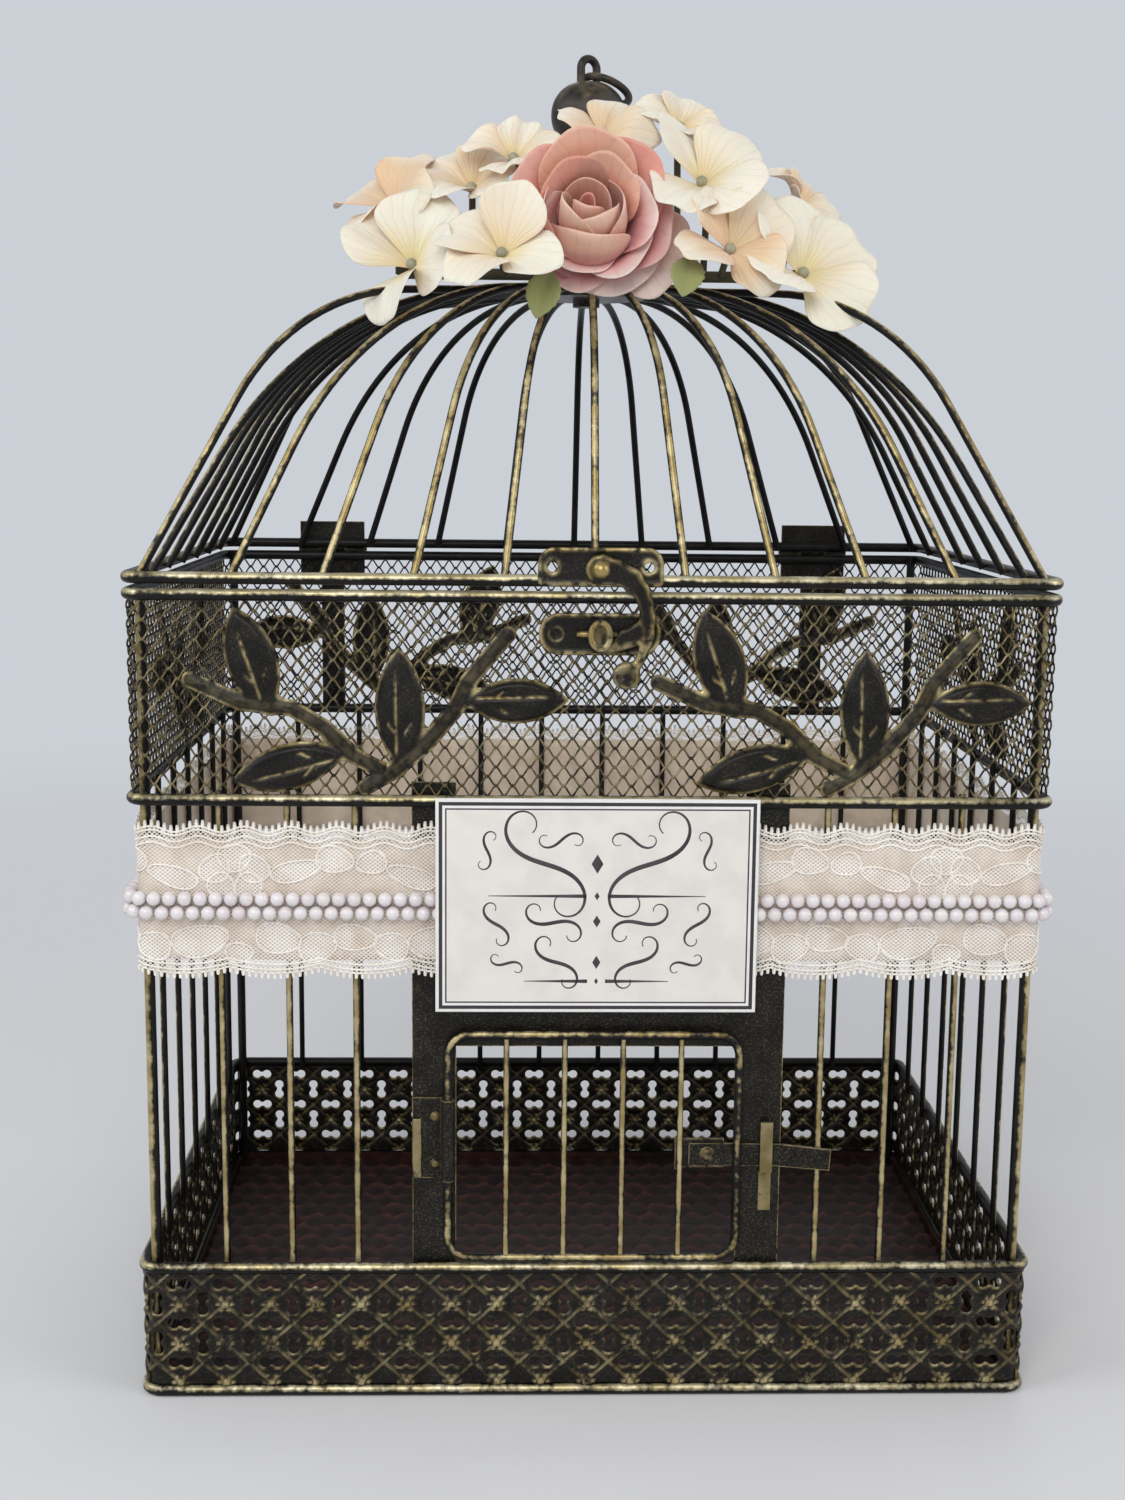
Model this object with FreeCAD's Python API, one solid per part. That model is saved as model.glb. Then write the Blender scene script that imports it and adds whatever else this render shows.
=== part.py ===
import FreeCAD, Part
import math
import os

from FreeCAD import Vector

# Wedding card box made from a rectangular wire birdcage with a hinged domed lid.
# Millimetres. +X is to the right of the front, +Y to the back, +Z up. The origin is the
# middle of the floor pan's underside, which is the plane that the box rests on.

# Wire radii
RING_R = 2.0
POST_R = 1.8
BAR_R = 1.15
DOME_R = 1.35
DOOR_FRAME_R = 1.5
DOOR_WIRE_R = 1.0
WELD_BITE = 0.1

# Plan of the rings, measured to the middle of the wire
RING_HALF_X = 152.9
RING_HALF_Y = 109.4
RING_CORNER = 6.0

# Heights of the rings, measured to the middle of the wire
BASE_BOTTOM_Z = RING_R
BASE_TOP_Z = 46.8
MID_Z = 210.6
BODY_TOP_Z = 278.3
LID_Z = 283.7

# Each wall: distance of the ring plane from the middle, turn about Z, half width of its flat stretch
FLAT_HALF_X = RING_HALF_X - RING_CORNER
FLAT_HALF_Y = RING_HALF_Y - RING_CORNER
WALLS = {
    "front": (RING_HALF_Y, 0.0, FLAT_HALF_X),
    "right": (RING_HALF_X, 90.0, FLAT_HALF_Y),
    "back": (RING_HALF_Y, 180.0, FLAT_HALF_X),
    "left": (RING_HALF_X, 270.0, FLAT_HALF_Y),
}

# Bars of the walls. Depths are outward from the ring plane, so inward ones are negative.
BAR_DEPTH = -(RING_R + BAR_R - WELD_BITE)
BAR_OUTER_DEPTH = BAR_DEPTH + BAR_R
BAR_OVERLAP = 2.5
FRONT_BAR_X = (79.0, 101.5, 124.0)
BACK_BAR_COUNT = 10
SIDE_BAR_COUNT = 6

# Stamped lattice band between the two base rings
LATTICE_T = 0.8
LATTICE_PITCH_X = 15.6
LATTICE_PITCH_Z = 14.4
LATTICE_TOP_ROW_Z = 41.0
LATTICE_WIDE_ROWS = 3
LATTICE_TALL_ROWS = 2
HOLE_HALF_LENGTH = 4.2
HOLE_HALF_WIDTH = 2.2
HOLE_HALF_WAIST = 1.1
HOLE_SHOULDERS = (0.35, 0.75)

# Mesh panels between the middle ring and the body's top ring
MESH_T = 1.0
MESH_ROWS = 5
MESH_PITCH_X = 11.7
MESH_STRAND_SHARE = 0.127
MESH_EDGE = 1.0

# Leaf sprigs, measured from the foot of the stem
SPRIG_T = 1.2
SPRIG_FOOT_Z = MID_Z + RING_R
SPRIG_STEM_R = 2.6
SPRIG_STEM_TAPER = 0.1
SPRIG_RIGHT_STEM = ((0.0, 2.7), (8.7, 7.8), (19.7, 17.0), (28.9, 28.0), (33.5, 38.0), (46.5, 53.5))
SPRIG_LEFT_STEM = ((5.0, 8.5), (-4.1, 13.3), (-13.3, 22.5), (-24.3, 28.9), (-42.7, 30.7), (-59.5, 38.0))
SPRIG_LEAVES = (
    ((11.5, 8.5), (11.0, 49.5), 15.5),
    ((30.0, 31.0), (64.5, 32.1), 14.7),
    ((-33.5, 27.0), (-45.4, 62.0), 17.0),
    ((-8.0, 16.0), (-44.5, 5.5), 14.0),
)
SPRIG_X = (-75.0, 78.0)
SIDE_SPRIG_X = -4.0

# Floor pan inside the bottom ring
PAN_T = 1.0
PAN_LIP = 4.0

# Door surround, a sheet frame behind the door
SURROUND_T = 0.8
SURROUND_DEPTH = -(RING_R - WELD_BITE / 2) - SURROUND_T
SURROUND_OUTER = (-60.2, 66.0)
SURROUND_INNER = (-45.3, 51.2)
SURROUND_BOTTOM_Z = BASE_TOP_Z - 1.5
SURROUND_TOP_Z = MID_Z + 6.0
HEADER_BOTTOM_Z = 125.6
HEADER_TOP_Z = 138.0

# Door and its hinge strap. The door turns on its own left wire.
DOOR_DEPTH = 1.2
DOOR_LEFT_X = -48.0
DOOR_RIGHT_X = 50.8
DOOR_BOTTOM_Z = 51.0
DOOR_TOP_Z = 130.6
DOOR_CORNER = 7.5
DOOR_WIRE_COUNT = 4
STRAP_Z = (79.0, 107.7)
STRAP_T = 1.0
STRAP_WALL = 0.75
RUNNING_GAP = 0.05
STRAP_RIVET_Z = (84.2, 101.0)
STRAP_RIVET_X = -52.4
STRAP_RIVET_R = 1.7
STRAP_RIVET_HEIGHT = 1.0

# Door latch: a lever that drops into a keeper with an open top
LEVER_PIVOT_X = 40.7
LEVER_PIVOT_Z = 87.6
LEVER_OUTLINE = ((34.4, 83.4), (34.4, 91.5), (64.2, 91.3), (83.4, 89.1), (82.9, 81.6), (64.2, 83.3))
LEVER_DEPTH = -1.5
LEVER_T = 1.0
LEVER_PIN_R = 1.2
LEVER_HEAD_R = 2.6
LEVER_HEAD_H = 1.2
LUG_X = (29.6, 46.5)
LUG_Z = (82.5, 92.7)
LUG_T = 1.0
LUG_FLANGE = 1.2
KEEPER_X = (58.7, 62.9)
KEEPER_Z = (67.2, 99.6)
KEEPER_SEAT_Z = 82.6
KEEPER_T = 1.0
KEEPER_STANDOFF = 2.4

# Lid clasp: plate, swinging hook and rivet on the lid, plate and stud on the body
CLASP_X = 1.5
CLASP_T = 1.2
HASP_HALF_W = 20.4
HASP_Z = (282.1, 294.7)
HASP_CORNER = 4.5
HASP_HOLE_HALF_SPACING = 15.7
HASP_HOLE_Z = 288.3
HASP_HOLE_R = 1.5
RIVET_Z = 287.6
RIVET_R = 1.5
RIVET_HEAD_R = 2.8
RIVET_HEAD_H = 2.0
HOOK_GAP = 0.15
HOOK_T = 2.0
HOOK_EYE_R = 5.25
HOOK_ARM = ((4.6, -0.6, 4.3), (10.0, -3.0, 3.6), (13.0, -6.6, 2.9), (14.7, -11.0, 2.5), (15.4, -16.0, 2.6),
            (15.1, -20.6, 2.5))
HOOK_FINGER_R = (23.8, 27.4)
HOOK_FINGER_DEG = (-96.0, -80.0)
HOOK_BLADE_R = (20.4, 27.4)
HOOK_BLADE_DEG = (-82.0, -52.0)
HOOK_NECK = ((14.9, -23.6, 1.9), (12.4, -30.4, 1.6))
HOOK_BALL = (8.6, -34.4, 4.8)
CATCH_HALF_W = 20.0
CATCH_HALF_H = 6.9
CATCH_Z = 266.4
STUD_NECK_R = 2.2
STUD_HEAD_R = 4.2
STUD_HEAD_H = 2.0

# Lid hinges at the back
HINGE_X = 106.0
HINGE_HALF_W = 14.0
HINGE_KNUCKLE_R = 2.2
HINGE_PIN_R = 1.0
HINGE_LEAF_T = 1.2
HINGE_LEAF_H = 12.0
HINGE_GAP = 0.3
HINGE_MIDDLE_HALF_W = 5.4
HINGE_TAIL_HALF_W = 5.0
HINGE_AXIS_DEPTH = RING_R + HINGE_KNUCKLE_R
HINGE_AXIS_Z = (BODY_TOP_Z + LID_Z) / 2
HINGE_PIN_HEAD_R = 1.7
HINGE_PIN_HEAD_T = 0.8

# Dome: each wire is a straight leg, one bend and a straight run to the cap.
# A knee is the share of the run where leg and top would cross, that crossing's height, and the
# share of the shorter side that the bend takes up. Each leg runs on a little past the middle of
# the lid ring's wire, so that it is welded into it.
CAP_R = 21.5
CAP_Z = (381.0, 386.0)
DOME_END_Z = 383.6
DOME_FOOT_Z = LID_Z
CORNER_KNEE = (0.371, 378.0, 0.42)
WALL_KNEE = (0.43, 383.0, 0.85)
DOME_FRONT_COUNT = 9
DOME_SIDE_COUNT = 6
DOME_FOOT_BITE = 0.2
DOME_FOOT_RUN = 1.0
DOME_DEPTH = -(RING_R + DOME_R - DOME_FOOT_BITE)

# Finial on the cap, held by a bolt from below, with an eye and a loose carry ring on top
KNOB_PROFILE = ((10.0, 386.0), (10.0, 389.0), (6.0, 391.5), (4.6, 398.0), (4.2, 410.0), (4.6, 423.0),
                (7.0, 427.0), (7.0, 430.0), (4.8, 432.5), (4.8, 435.0))
KNOB_BALL_R = 13.7
KNOB_BALL_Z = 446.8
KNOB_TOP_Z = 458.4
KNOB_TOP_R = 5.6
KNOB_LOWER_MIDDLE = (11.2, 439.4)
KNOB_UPPER_MIDDLE = (11.6, 454.0)
BOLT_R = 2.5
BOLT_HEAD_R = 5.0
BOLT_HEAD_H = 3.0
BOLT_TOP_Z = 404.0
EYE_MAJOR_R = 3.6
EYE_WIRE_R = 1.5
EYE_Z = KNOB_TOP_Z + EYE_MAJOR_R + EYE_WIRE_R
EYE_FOOT_Z = 452.0
EYE_TURN = 35.0
CARRY_MAJOR_R = 9.0
CARRY_WIRE_R = 1.4
CARRY_GAP = 1.1
CARRY_Z = KNOB_TOP_Z + CARRY_WIRE_R + CARRY_GAP
CARRY_DROOP = 26.0

# Ribbon, lace, bead rows and card round the middle of the cage
RIBBON_Z = (156.0, 197.0)
RIBBON_T = 0.6
RIBBON_CORNER = 4.0
LACE_Z = (149.5, 202.5)
LACE_T = 0.8
BEAD_R = 2.4
BEAD_ROWS_Z = (172.7, 177.5)
CARD_X = (-52.0, 55.0)
CARD_Z = (140.0, 212.5)
CARD_T = 1.4
CARD_BEAD_GAP = 0.3
PAD_HALF = 6.0
PAD_X = (-38.0, 41.0)
PAD_Z = (162.0, 187.5)

# Silk flowers on the lid: middle, facing direction, and the radius over the petal tips
ROSE_CENTRE = (-0.5, -46.0, 403.2)
ROSE_FACING = (-0.02, -0.97, 0.22)
ROSE_CUPS = ((28.5, 0.0, 13.0), (23.0, 6.0, 18.5), (16.0, 11.0, 22.5), (9.0, 15.0, 25.0))
ROSE_BASE_R = 9.0
ROSE_BASE_DEPTH = 12.0
ROSE_LIP = 3.0
ROSE_WAIST_SHARE = 0.82
ROSE_HOLLOW_SHARE = 0.6
BLOSSOMS_LEFT = (
    ((-62.0, -44.0, 389.5), (-0.35, -0.70, 0.60), 26.0),
    ((-31.0, -66.5, 391.5), (-0.16, -0.76, 0.62), 22.5),
    ((-69.0, -20.0, 413.5), (-0.50, -0.45, 0.72), 22.0),
    ((-42.0, -32.0, 415.0), (-0.15, -0.60, 0.78), 21.0),
    ((-25.5, -30.0, 428.0), (-0.05, -0.65, 0.75), 18.0),
)
BLOSSOMS_RIGHT = (
    ((3.5, -30.0, 434.0), (0.05, -0.65, 0.75), 17.0),
    ((40.3, -44.3, 417.0), (0.15, -0.72, 0.66), 22.0),
    ((46.5, -57.0, 393.0), (0.20, -0.78, 0.58), 22.0),
    ((75.5, -46.5, 389.0), (0.40, -0.72, 0.55), 24.5),
    ((75.0, -16.0, 412.5), (0.50, -0.45, 0.72), 17.0),
    ((31.0, -24.0, 438.5), (0.15, -0.45, 0.88), 17.0),
)
PETAL_SHARE = 0.52
PETAL_T = 2.0
PETAL_CUP_DEG = 26.0
BLOSSOM_EYE_R = 3.6
LEAF_SPOTS = (
    ((-15.0, -68.5, 386.0), (-18.5, -73.0, 373.5)),
    ((33.0, -64.0, 391.0), (31.0, -71.0, 383.0)),
)
GREEN_LEAF_W = 11.0
GREEN_LEAF_L = 18.0
GREEN_LEAF_T = 1.0
STEM_R = 2.0
STEM_Y = -34.0
STEM_HALF_L = 68.0
STEM_Z = DOME_END_Z + DOME_R + STEM_R - WELD_BITE
BRANCH_R = 1.2

UP = Vector(0, 0, 1)
INTO = Vector(0, 1, 0)


def rounded_rectangle(half_x, half_y, corner, z):
    """Closed wire of four straight runs and four corner arcs, lying flat at height z."""
    edges = []
    dx = half_x - corner
    dy = half_y - corner
    diagonal = corner * math.sqrt(0.5)
    for sx, sy, quarter in ((1, 1, 0), (-1, 1, 1), (-1, -1, 2), (1, -1, 3)):
        middle = Vector(sx * dx, sy * dy, z)
        a = math.radians(90 * quarter)
        start = middle + Vector(corner * math.cos(a), corner * math.sin(a), 0)
        end = middle + Vector(-corner * math.sin(a), corner * math.cos(a), 0)
        crown = middle + Vector(sx * diagonal, sy * diagonal, 0)
        edges.append(Part.Arc(start, crown, end).toShape())
    closed = []
    for arc, following in zip(edges, edges[1:] + edges[:1]):
        closed.append(arc)
        closed.append(Part.LineSegment(arc.lastVertex().Point, following.firstVertex().Point).toShape())
    return Part.Wire(closed)


def swept_round(path, radius):
    """Round wire of one radius along a path of straight runs and tangent arcs."""
    first = path.Edges[0]
    start = first.valueAt(first.FirstParameter)
    direction = first.tangentAt(first.FirstParameter)
    section = Part.Face(Part.Wire(Part.makeCircle(radius, start, direction)))
    return path.makePipe(section)


def sheet_face(outline, holes):
    """Flat face inside an outline wire, less the hole wires."""
    return Part.makeFace([outline] + list(holes), "Part::FaceMakerCheese")


def flat_ring(half_x, half_y, corner, z, radius):
    """Round wire bent into a rounded rectangle."""
    return swept_round(rounded_rectangle(half_x, half_y, corner, z), radius)


def band(half_x, half_y, corner, thickness, z_range):
    """Upright loop of sheet whose inner face is a rounded rectangle."""
    low, high = z_range
    outer = rounded_rectangle(half_x + thickness, half_y + thickness, corner + thickness, low)
    inner = rounded_rectangle(half_x, half_y, corner, low)
    return sheet_face(outer, [inner]).extrude(UP * (high - low))


def rod(start, end, radius):
    """Straight round rod between two points."""
    along = end - start
    return Part.makeCylinder(radius, along.Length, start, along)


def on_wall(shape, wall):
    """Set a shape drawn for the front at y = -depth on one wall."""
    distance, turn, _ = WALLS[wall]
    placed = shape.copy()
    placed.translate(Vector(0, -distance, 0))
    placed.rotate(Vector(0, 0, 0), UP, turn)
    return placed


def polygon(points, depth):
    """Closed wire through (x, z) points at a depth outward from the ring plane."""
    corners = [Vector(x, -depth, z) for x, z in points]
    return Part.makePolygon(corners + corners[:1])


def slab(outline, depth, thickness, holes=()):
    """Flat plate from an outline wire drawn at that depth, thickened outward."""
    return sheet_face(outline, holes).extrude(INTO * -thickness)


def box_plate(x_range, z_range, depth, thickness):
    """Rectangular plate at a depth outward from the ring plane."""
    corner = Vector(x_range[0], -(depth + thickness), z_range[0])
    return Part.makeBox(x_range[1] - x_range[0], thickness, z_range[1] - z_range[0], corner)


def disc_plate(x, z, radius, depth, thickness):
    """Round plate at a depth outward from the ring plane."""
    return Part.makeCylinder(radius, thickness, Vector(x, -depth, z), INTO * -1)


def tapered_link(first, second, depth, thickness):
    """Plate whose outline wraps two circles, each given as (x, z, radius)."""
    (x0, z0, r0), (x1, z1, r1) = first, second
    length = math.hypot(x1 - x0, z1 - z0)
    heading = math.atan2(z1 - z0, x1 - x0)
    spread = math.acos((r0 - r1) / length)

    def at(x, z, r, angle):
        return Vector(x + r * math.cos(angle), -depth, z + r * math.sin(angle))

    left0 = at(x0, z0, r0, heading + spread)
    left1 = at(x1, z1, r1, heading + spread)
    right0 = at(x0, z0, r0, heading - spread)
    right1 = at(x1, z1, r1, heading - spread)
    outline = Part.Wire([
        Part.LineSegment(left0, left1).toShape(),
        Part.Arc(left1, at(x1, z1, r1, heading), right1).toShape(),
        Part.LineSegment(right1, right0).toShape(),
        Part.Arc(right0, at(x0, z0, r0, heading + math.pi), left0).toShape(),
    ])
    return slab(outline, depth, thickness)


def joined(shapes):
    """One clean solid, or group of solids, from shapes that meet."""
    first, rest = shapes[0], shapes[1:]
    return (first.multiFuse(rest) if rest else first).removeSplitter()


def even_spacing(half_width, count):
    """Places of count wires that divide a width into equal gaps."""
    gap = 2 * half_width / (count + 1)
    return [-half_width + gap * (i + 1) for i in range(count)]


# Rings, posts and bars

def wall_ring(z):
    return flat_ring(RING_HALF_X, RING_HALF_Y, RING_CORNER, z, RING_R)


def corner_place(radius, bite):
    """Distance from the middle along X and Y of a wire nested in the ring's corner."""
    reach = (RING_CORNER - RING_R - radius + bite) * math.sqrt(0.5)
    return FLAT_HALF_X + reach, FLAT_HALF_Y + reach


def post_place():
    return corner_place(POST_R, WELD_BITE)


def corner_posts():
    x, y = post_place()
    top = BODY_TOP_Z + RING_R
    return Part.makeCompound([
        rod(Vector(sx * x, sy * y, BASE_BOTTOM_Z), Vector(sx * x, sy * y, top), POST_R)
        for sx in (-1, 1) for sy in (-1, 1)
    ])


def wall_bars(wall, places):
    low = BASE_TOP_Z - BAR_OVERLAP
    high = MID_Z + BAR_OVERLAP
    bars = [rod(Vector(x, -BAR_DEPTH, low), Vector(x, -BAR_DEPTH, high), BAR_R) for x in places]
    return on_wall(Part.makeCompound(bars), wall)


# Stamped lattice band

def dumbbell(x, z, upright):
    """Outline of one lattice opening, long across or long upright."""
    a, b, c = HOLE_HALF_LENGTH, HOLE_HALF_WIDTH, HOLE_HALF_WAIST
    near, far = (share * a for share in HOLE_SHOULDERS)
    side = ((-a, -b / 2), (-far, -b), (-near, -b), (0.0, -c), (near, -b), (far, -b))
    points = list(side) + [(-u, -v) for u, v in side]
    if upright:
        points = [(v, u) for u, v in points]
    return polygon([(x + u, z + v) for u, v in points], -LATTICE_T / 2)


def lattice_panel(wall):
    half = WALLS[wall][2]
    low = BASE_BOTTOM_Z + RING_R - WELD_BITE / 2
    high = BASE_TOP_Z - RING_R + WELD_BITE / 2
    columns = int(half // LATTICE_PITCH_X)
    holes = []
    for k in range(-columns, columns + 1):
        for row in range(LATTICE_WIDE_ROWS):
            if abs(k * LATTICE_PITCH_X) + HOLE_HALF_LENGTH < half:
                z = LATTICE_TOP_ROW_Z - row * LATTICE_PITCH_Z
                holes.append(dumbbell(k * LATTICE_PITCH_X, z, False))
        for row in range(LATTICE_TALL_ROWS):
            x = (k + 0.5) * LATTICE_PITCH_X
            if abs(x) + HOLE_HALF_WIDTH < half:
                z = LATTICE_TOP_ROW_Z - (row + 0.5) * LATTICE_PITCH_Z
                holes.append(dumbbell(x, z, True))
    outline = polygon(((-half, low), (half, low), (half, high), (-half, high)), -LATTICE_T / 2)
    panel = slab(outline, -LATTICE_T / 2, LATTICE_T, holes)
    placed = on_wall(panel, wall)
    if wall in ("left", "right"):
        placed = joined([placed] + lattice_corners(wall, low, high))
    return placed


def lattice_corners(wall, low, high):
    """The two quarter bends that carry a side panel round to the front and back."""
    side = 1 if wall == "right" else -1
    inner = RING_CORNER - LATTICE_T / 2
    outer = RING_CORNER + LATTICE_T / 2
    bends = []
    for sy in (-1, 1):
        middle = Vector(side * FLAT_HALF_X, sy * FLAT_HALF_Y, low)
        tube = Part.makeCylinder(outer, high - low, middle)
        tube = tube.cut(Part.makeCylinder(inner, high - low, middle))
        corner = middle + Vector(0 if side > 0 else -2 * outer, 0 if sy > 0 else -2 * outer, 0)
        bends.append(tube.common(Part.makeBox(2 * outer, 2 * outer, high - low, corner)))
    return bends


# Diamond mesh panels

def mesh_panel(wall):
    half = WALLS[wall][2]
    low = MID_Z + RING_R - WELD_BITE / 2
    high = BODY_TOP_Z - RING_R + WELD_BITE / 2
    columns = round(2 * half / MESH_PITCH_X)
    pitch_x = 2 * half / columns
    pitch_z = (high - low) / MESH_ROWS
    hx = pitch_x / 2 * (1 - MESH_STRAND_SHARE)
    hz = pitch_z / 2 * (1 - MESH_STRAND_SHARE)
    depth = -MESH_T / 2
    holes = []
    for i in range(columns):
        x = -half + (i + 0.5) * pitch_x
        for j in range(MESH_ROWS):
            z = low + (j + 0.5) * pitch_z
            holes.append(polygon(((x - hx, z), (x, z - hz), (x + hx, z), (x, z + hz)), depth))
    edge = hx * (1 - MESH_EDGE / hz)
    for i in range(1, columns):
        x = -half + i * pitch_x
        for j in range(1, MESH_ROWS):
            z = low + j * pitch_z
            holes.append(polygon(((x - hx, z), (x, z - hz), (x + hx, z), (x, z + hz)), depth))
        for rim, inward in ((low, 1), (high, -1)):
            base = rim + inward * MESH_EDGE
            holes.append(polygon(((x - edge, base), (x + edge, base), (x, rim + inward * hz)), depth))
    outline = polygon(((-half, low), (half, low), (half, high), (-half, high)), depth)
    return on_wall(slab(outline, depth, MESH_T, holes), wall)


# Leaf sprigs on the mesh

def pointed_leaf(base, tip, width, depth, thickness):
    """Lens-shaped leaf between two (x, z) points."""
    along = Vector(tip[0] - base[0], 0, tip[1] - base[1])
    middle = Vector((base[0] + tip[0]) / 2, -depth, (base[1] + tip[1]) / 2)
    across = Vector(-along.z, 0, along.x).normalize() * (width / 2)
    start = Vector(base[0], -depth, base[1])
    end = Vector(tip[0], -depth, tip[1])
    outline = Part.Wire([
        Part.Arc(start, middle + across, end).toShape(),
        Part.Arc(end, middle - across, start).toShape(),
    ])
    return slab(outline, depth, thickness)


def leaf_sprig(x):
    depth = MESH_T / 2
    pieces = []
    for stem in (SPRIG_RIGHT_STEM, SPRIG_LEFT_STEM):
        for (x0, z0), (x1, z1) in zip(stem, stem[1:]):
            start = (x0, z0, SPRIG_STEM_R)
            end = (x1, z1, SPRIG_STEM_R - SPRIG_STEM_TAPER)
            pieces.append(tapered_link(start, end, depth, SPRIG_T))
    for base, tip, width in SPRIG_LEAVES:
        pieces.append(pointed_leaf(base, tip, width, depth, SPRIG_T))
    sprig = joined(pieces)
    sprig.translate(Vector(x, 0, SPRIG_FOOT_Z))
    return sprig


def sprig_group(wall, places):
    return on_wall(Part.makeCompound([leaf_sprig(x) for x in places]), wall)


# Floor

def floor_pan():
    inside_x = RING_HALF_X - RING_R
    inside_y = RING_HALF_Y - RING_R
    corner = RING_CORNER - RING_R
    post_x, post_y = post_place()
    sheet = Part.Face(rounded_rectangle(inside_x, inside_y, corner, 0)).extrude(UP * PAN_T)
    lip = band(inside_x - PAN_T, inside_y - PAN_T, corner - PAN_T, PAN_T, (0, PAN_LIP))
    pan = joined([sheet, lip])
    for sx in (-1, 1):
        for sy in (-1, 1):
            post = Vector(sx * post_x, sy * post_y, 0)
            pan = pan.cut(Part.makeCylinder(POST_R, PAN_LIP, post))
    return pan


# Door surround, door and latch

def door_surround():
    left, right = SURROUND_OUTER
    inner_left, inner_right = SURROUND_INNER
    outline = polygon((
        (left, SURROUND_BOTTOM_Z), (inner_left, SURROUND_BOTTOM_Z), (inner_left, HEADER_BOTTOM_Z),
        (inner_right, HEADER_BOTTOM_Z), (inner_right, SURROUND_BOTTOM_Z), (right, SURROUND_BOTTOM_Z),
        (right, SURROUND_TOP_Z), (inner_right, SURROUND_TOP_Z), (inner_right, HEADER_TOP_Z),
        (inner_left, HEADER_TOP_Z), (inner_left, SURROUND_TOP_Z), (left, SURROUND_TOP_Z),
    ), SURROUND_DEPTH)
    return on_wall(slab(outline, SURROUND_DEPTH, SURROUND_T), "front")


def surround_face():
    """Depth of the surround's front face."""
    return SURROUND_DEPTH + SURROUND_T


def door_frame():
    half_x = (DOOR_RIGHT_X - DOOR_LEFT_X) / 2
    half_z = (DOOR_TOP_Z - DOOR_BOTTOM_Z) / 2
    frame = flat_ring(half_x, half_z, DOOR_CORNER, 0, DOOR_FRAME_R)
    frame.rotate(Vector(0, 0, 0), Vector(1, 0, 0), 90)
    frame.translate(Vector(DOOR_LEFT_X + half_x, -DOOR_DEPTH, DOOR_BOTTOM_Z + half_z))
    return on_wall(frame, "front")


def door_wire_places():
    middle = (DOOR_LEFT_X + DOOR_RIGHT_X) / 2
    return [middle + x for x in even_spacing((DOOR_RIGHT_X - DOOR_LEFT_X) / 2, DOOR_WIRE_COUNT)]


def door_wires():
    low = DOOR_BOTTOM_Z + DOOR_FRAME_R - WELD_BITE
    high = DOOR_TOP_Z - DOOR_FRAME_R + WELD_BITE
    wires = [rod(Vector(x, -DOOR_DEPTH, low), Vector(x, -DOOR_DEPTH, high), DOOR_WIRE_R)
             for x in door_wire_places()]
    return on_wall(Part.makeCompound(wires), "front")


def door_hinge_strap():
    """Strap on the left upright with its edge rolled round the door's left wire."""
    height = STRAP_Z[1] - STRAP_Z[0]
    bore = DOOR_FRAME_R + RUNNING_GAP
    roll = bore + STRAP_WALL
    axis_foot = Vector(DOOR_LEFT_X, -DOOR_DEPTH, STRAP_Z[0])
    plate = box_plate((SURROUND_OUTER[0], DOOR_LEFT_X), STRAP_Z, surround_face(), STRAP_T)
    web_depth = DOOR_DEPTH - surround_face()
    web = box_plate((DOOR_LEFT_X - roll, DOOR_LEFT_X), STRAP_Z, surround_face(), web_depth)
    rolled = Part.makeCylinder(roll, height, axis_foot)
    strap = joined([plate, web, rolled]).cut(Part.makeCylinder(bore, height, axis_foot))
    return on_wall(strap, "front")


def domed_head(x, z, depth, radius, height):
    """Rivet head: a low dome standing outward from a depth."""
    sphere_r = (radius ** 2 + height ** 2) / (2 * height)
    ball = Part.makeSphere(sphere_r, Vector(x, -(depth + height - sphere_r), z))
    return ball.common(disc_plate(x, z, radius, depth, height))


def door_hinge_rivets():
    depth = surround_face() + STRAP_T
    heads = [domed_head(STRAP_RIVET_X, z, depth, STRAP_RIVET_R, STRAP_RIVET_HEIGHT) for z in STRAP_RIVET_Z]
    return on_wall(Part.makeCompound(heads), "front")


def door_latch_lever():
    """Sheet bar with square ends, bent a little down past the keeper."""
    plate = slab(polygon(LEVER_OUTLINE, LEVER_DEPTH), LEVER_DEPTH, LEVER_T)
    hole = disc_plate(LEVER_PIVOT_X, LEVER_PIVOT_Z, LEVER_PIN_R + RUNNING_GAP, LEVER_DEPTH, LEVER_T)
    return on_wall(plate.cut(hole), "front")


def lug_depth():
    """Depth of the lug's back face, which stands just behind the lever."""
    return LEVER_DEPTH - HOOK_GAP - LUG_T


def door_latch_lug():
    """Bracket welded to the last door wire, with its plate behind the lever."""
    wire_back = DOOR_DEPTH - DOOR_WIRE_R + WELD_BITE
    plate = box_plate(LUG_X, LUG_Z, lug_depth(), LUG_T)
    flange = box_plate((LUG_X[0], LUG_X[0] + LUG_FLANGE), LUG_Z, lug_depth(), wire_back - lug_depth())
    hole = disc_plate(LEVER_PIVOT_X, LEVER_PIVOT_Z, LEVER_PIN_R, lug_depth(), LUG_T)
    return on_wall(joined([plate, flange]).cut(hole), "front")


def door_latch_rivet():
    front = LEVER_DEPTH + LEVER_T + RUNNING_GAP
    shank = disc_plate(LEVER_PIVOT_X, LEVER_PIVOT_Z, LEVER_PIN_R, lug_depth(), front - lug_depth())
    head = domed_head(LEVER_PIVOT_X, LEVER_PIVOT_Z, front, LEVER_HEAD_R, LEVER_HEAD_H)
    return on_wall(joined([shank, head]), "front")


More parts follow.
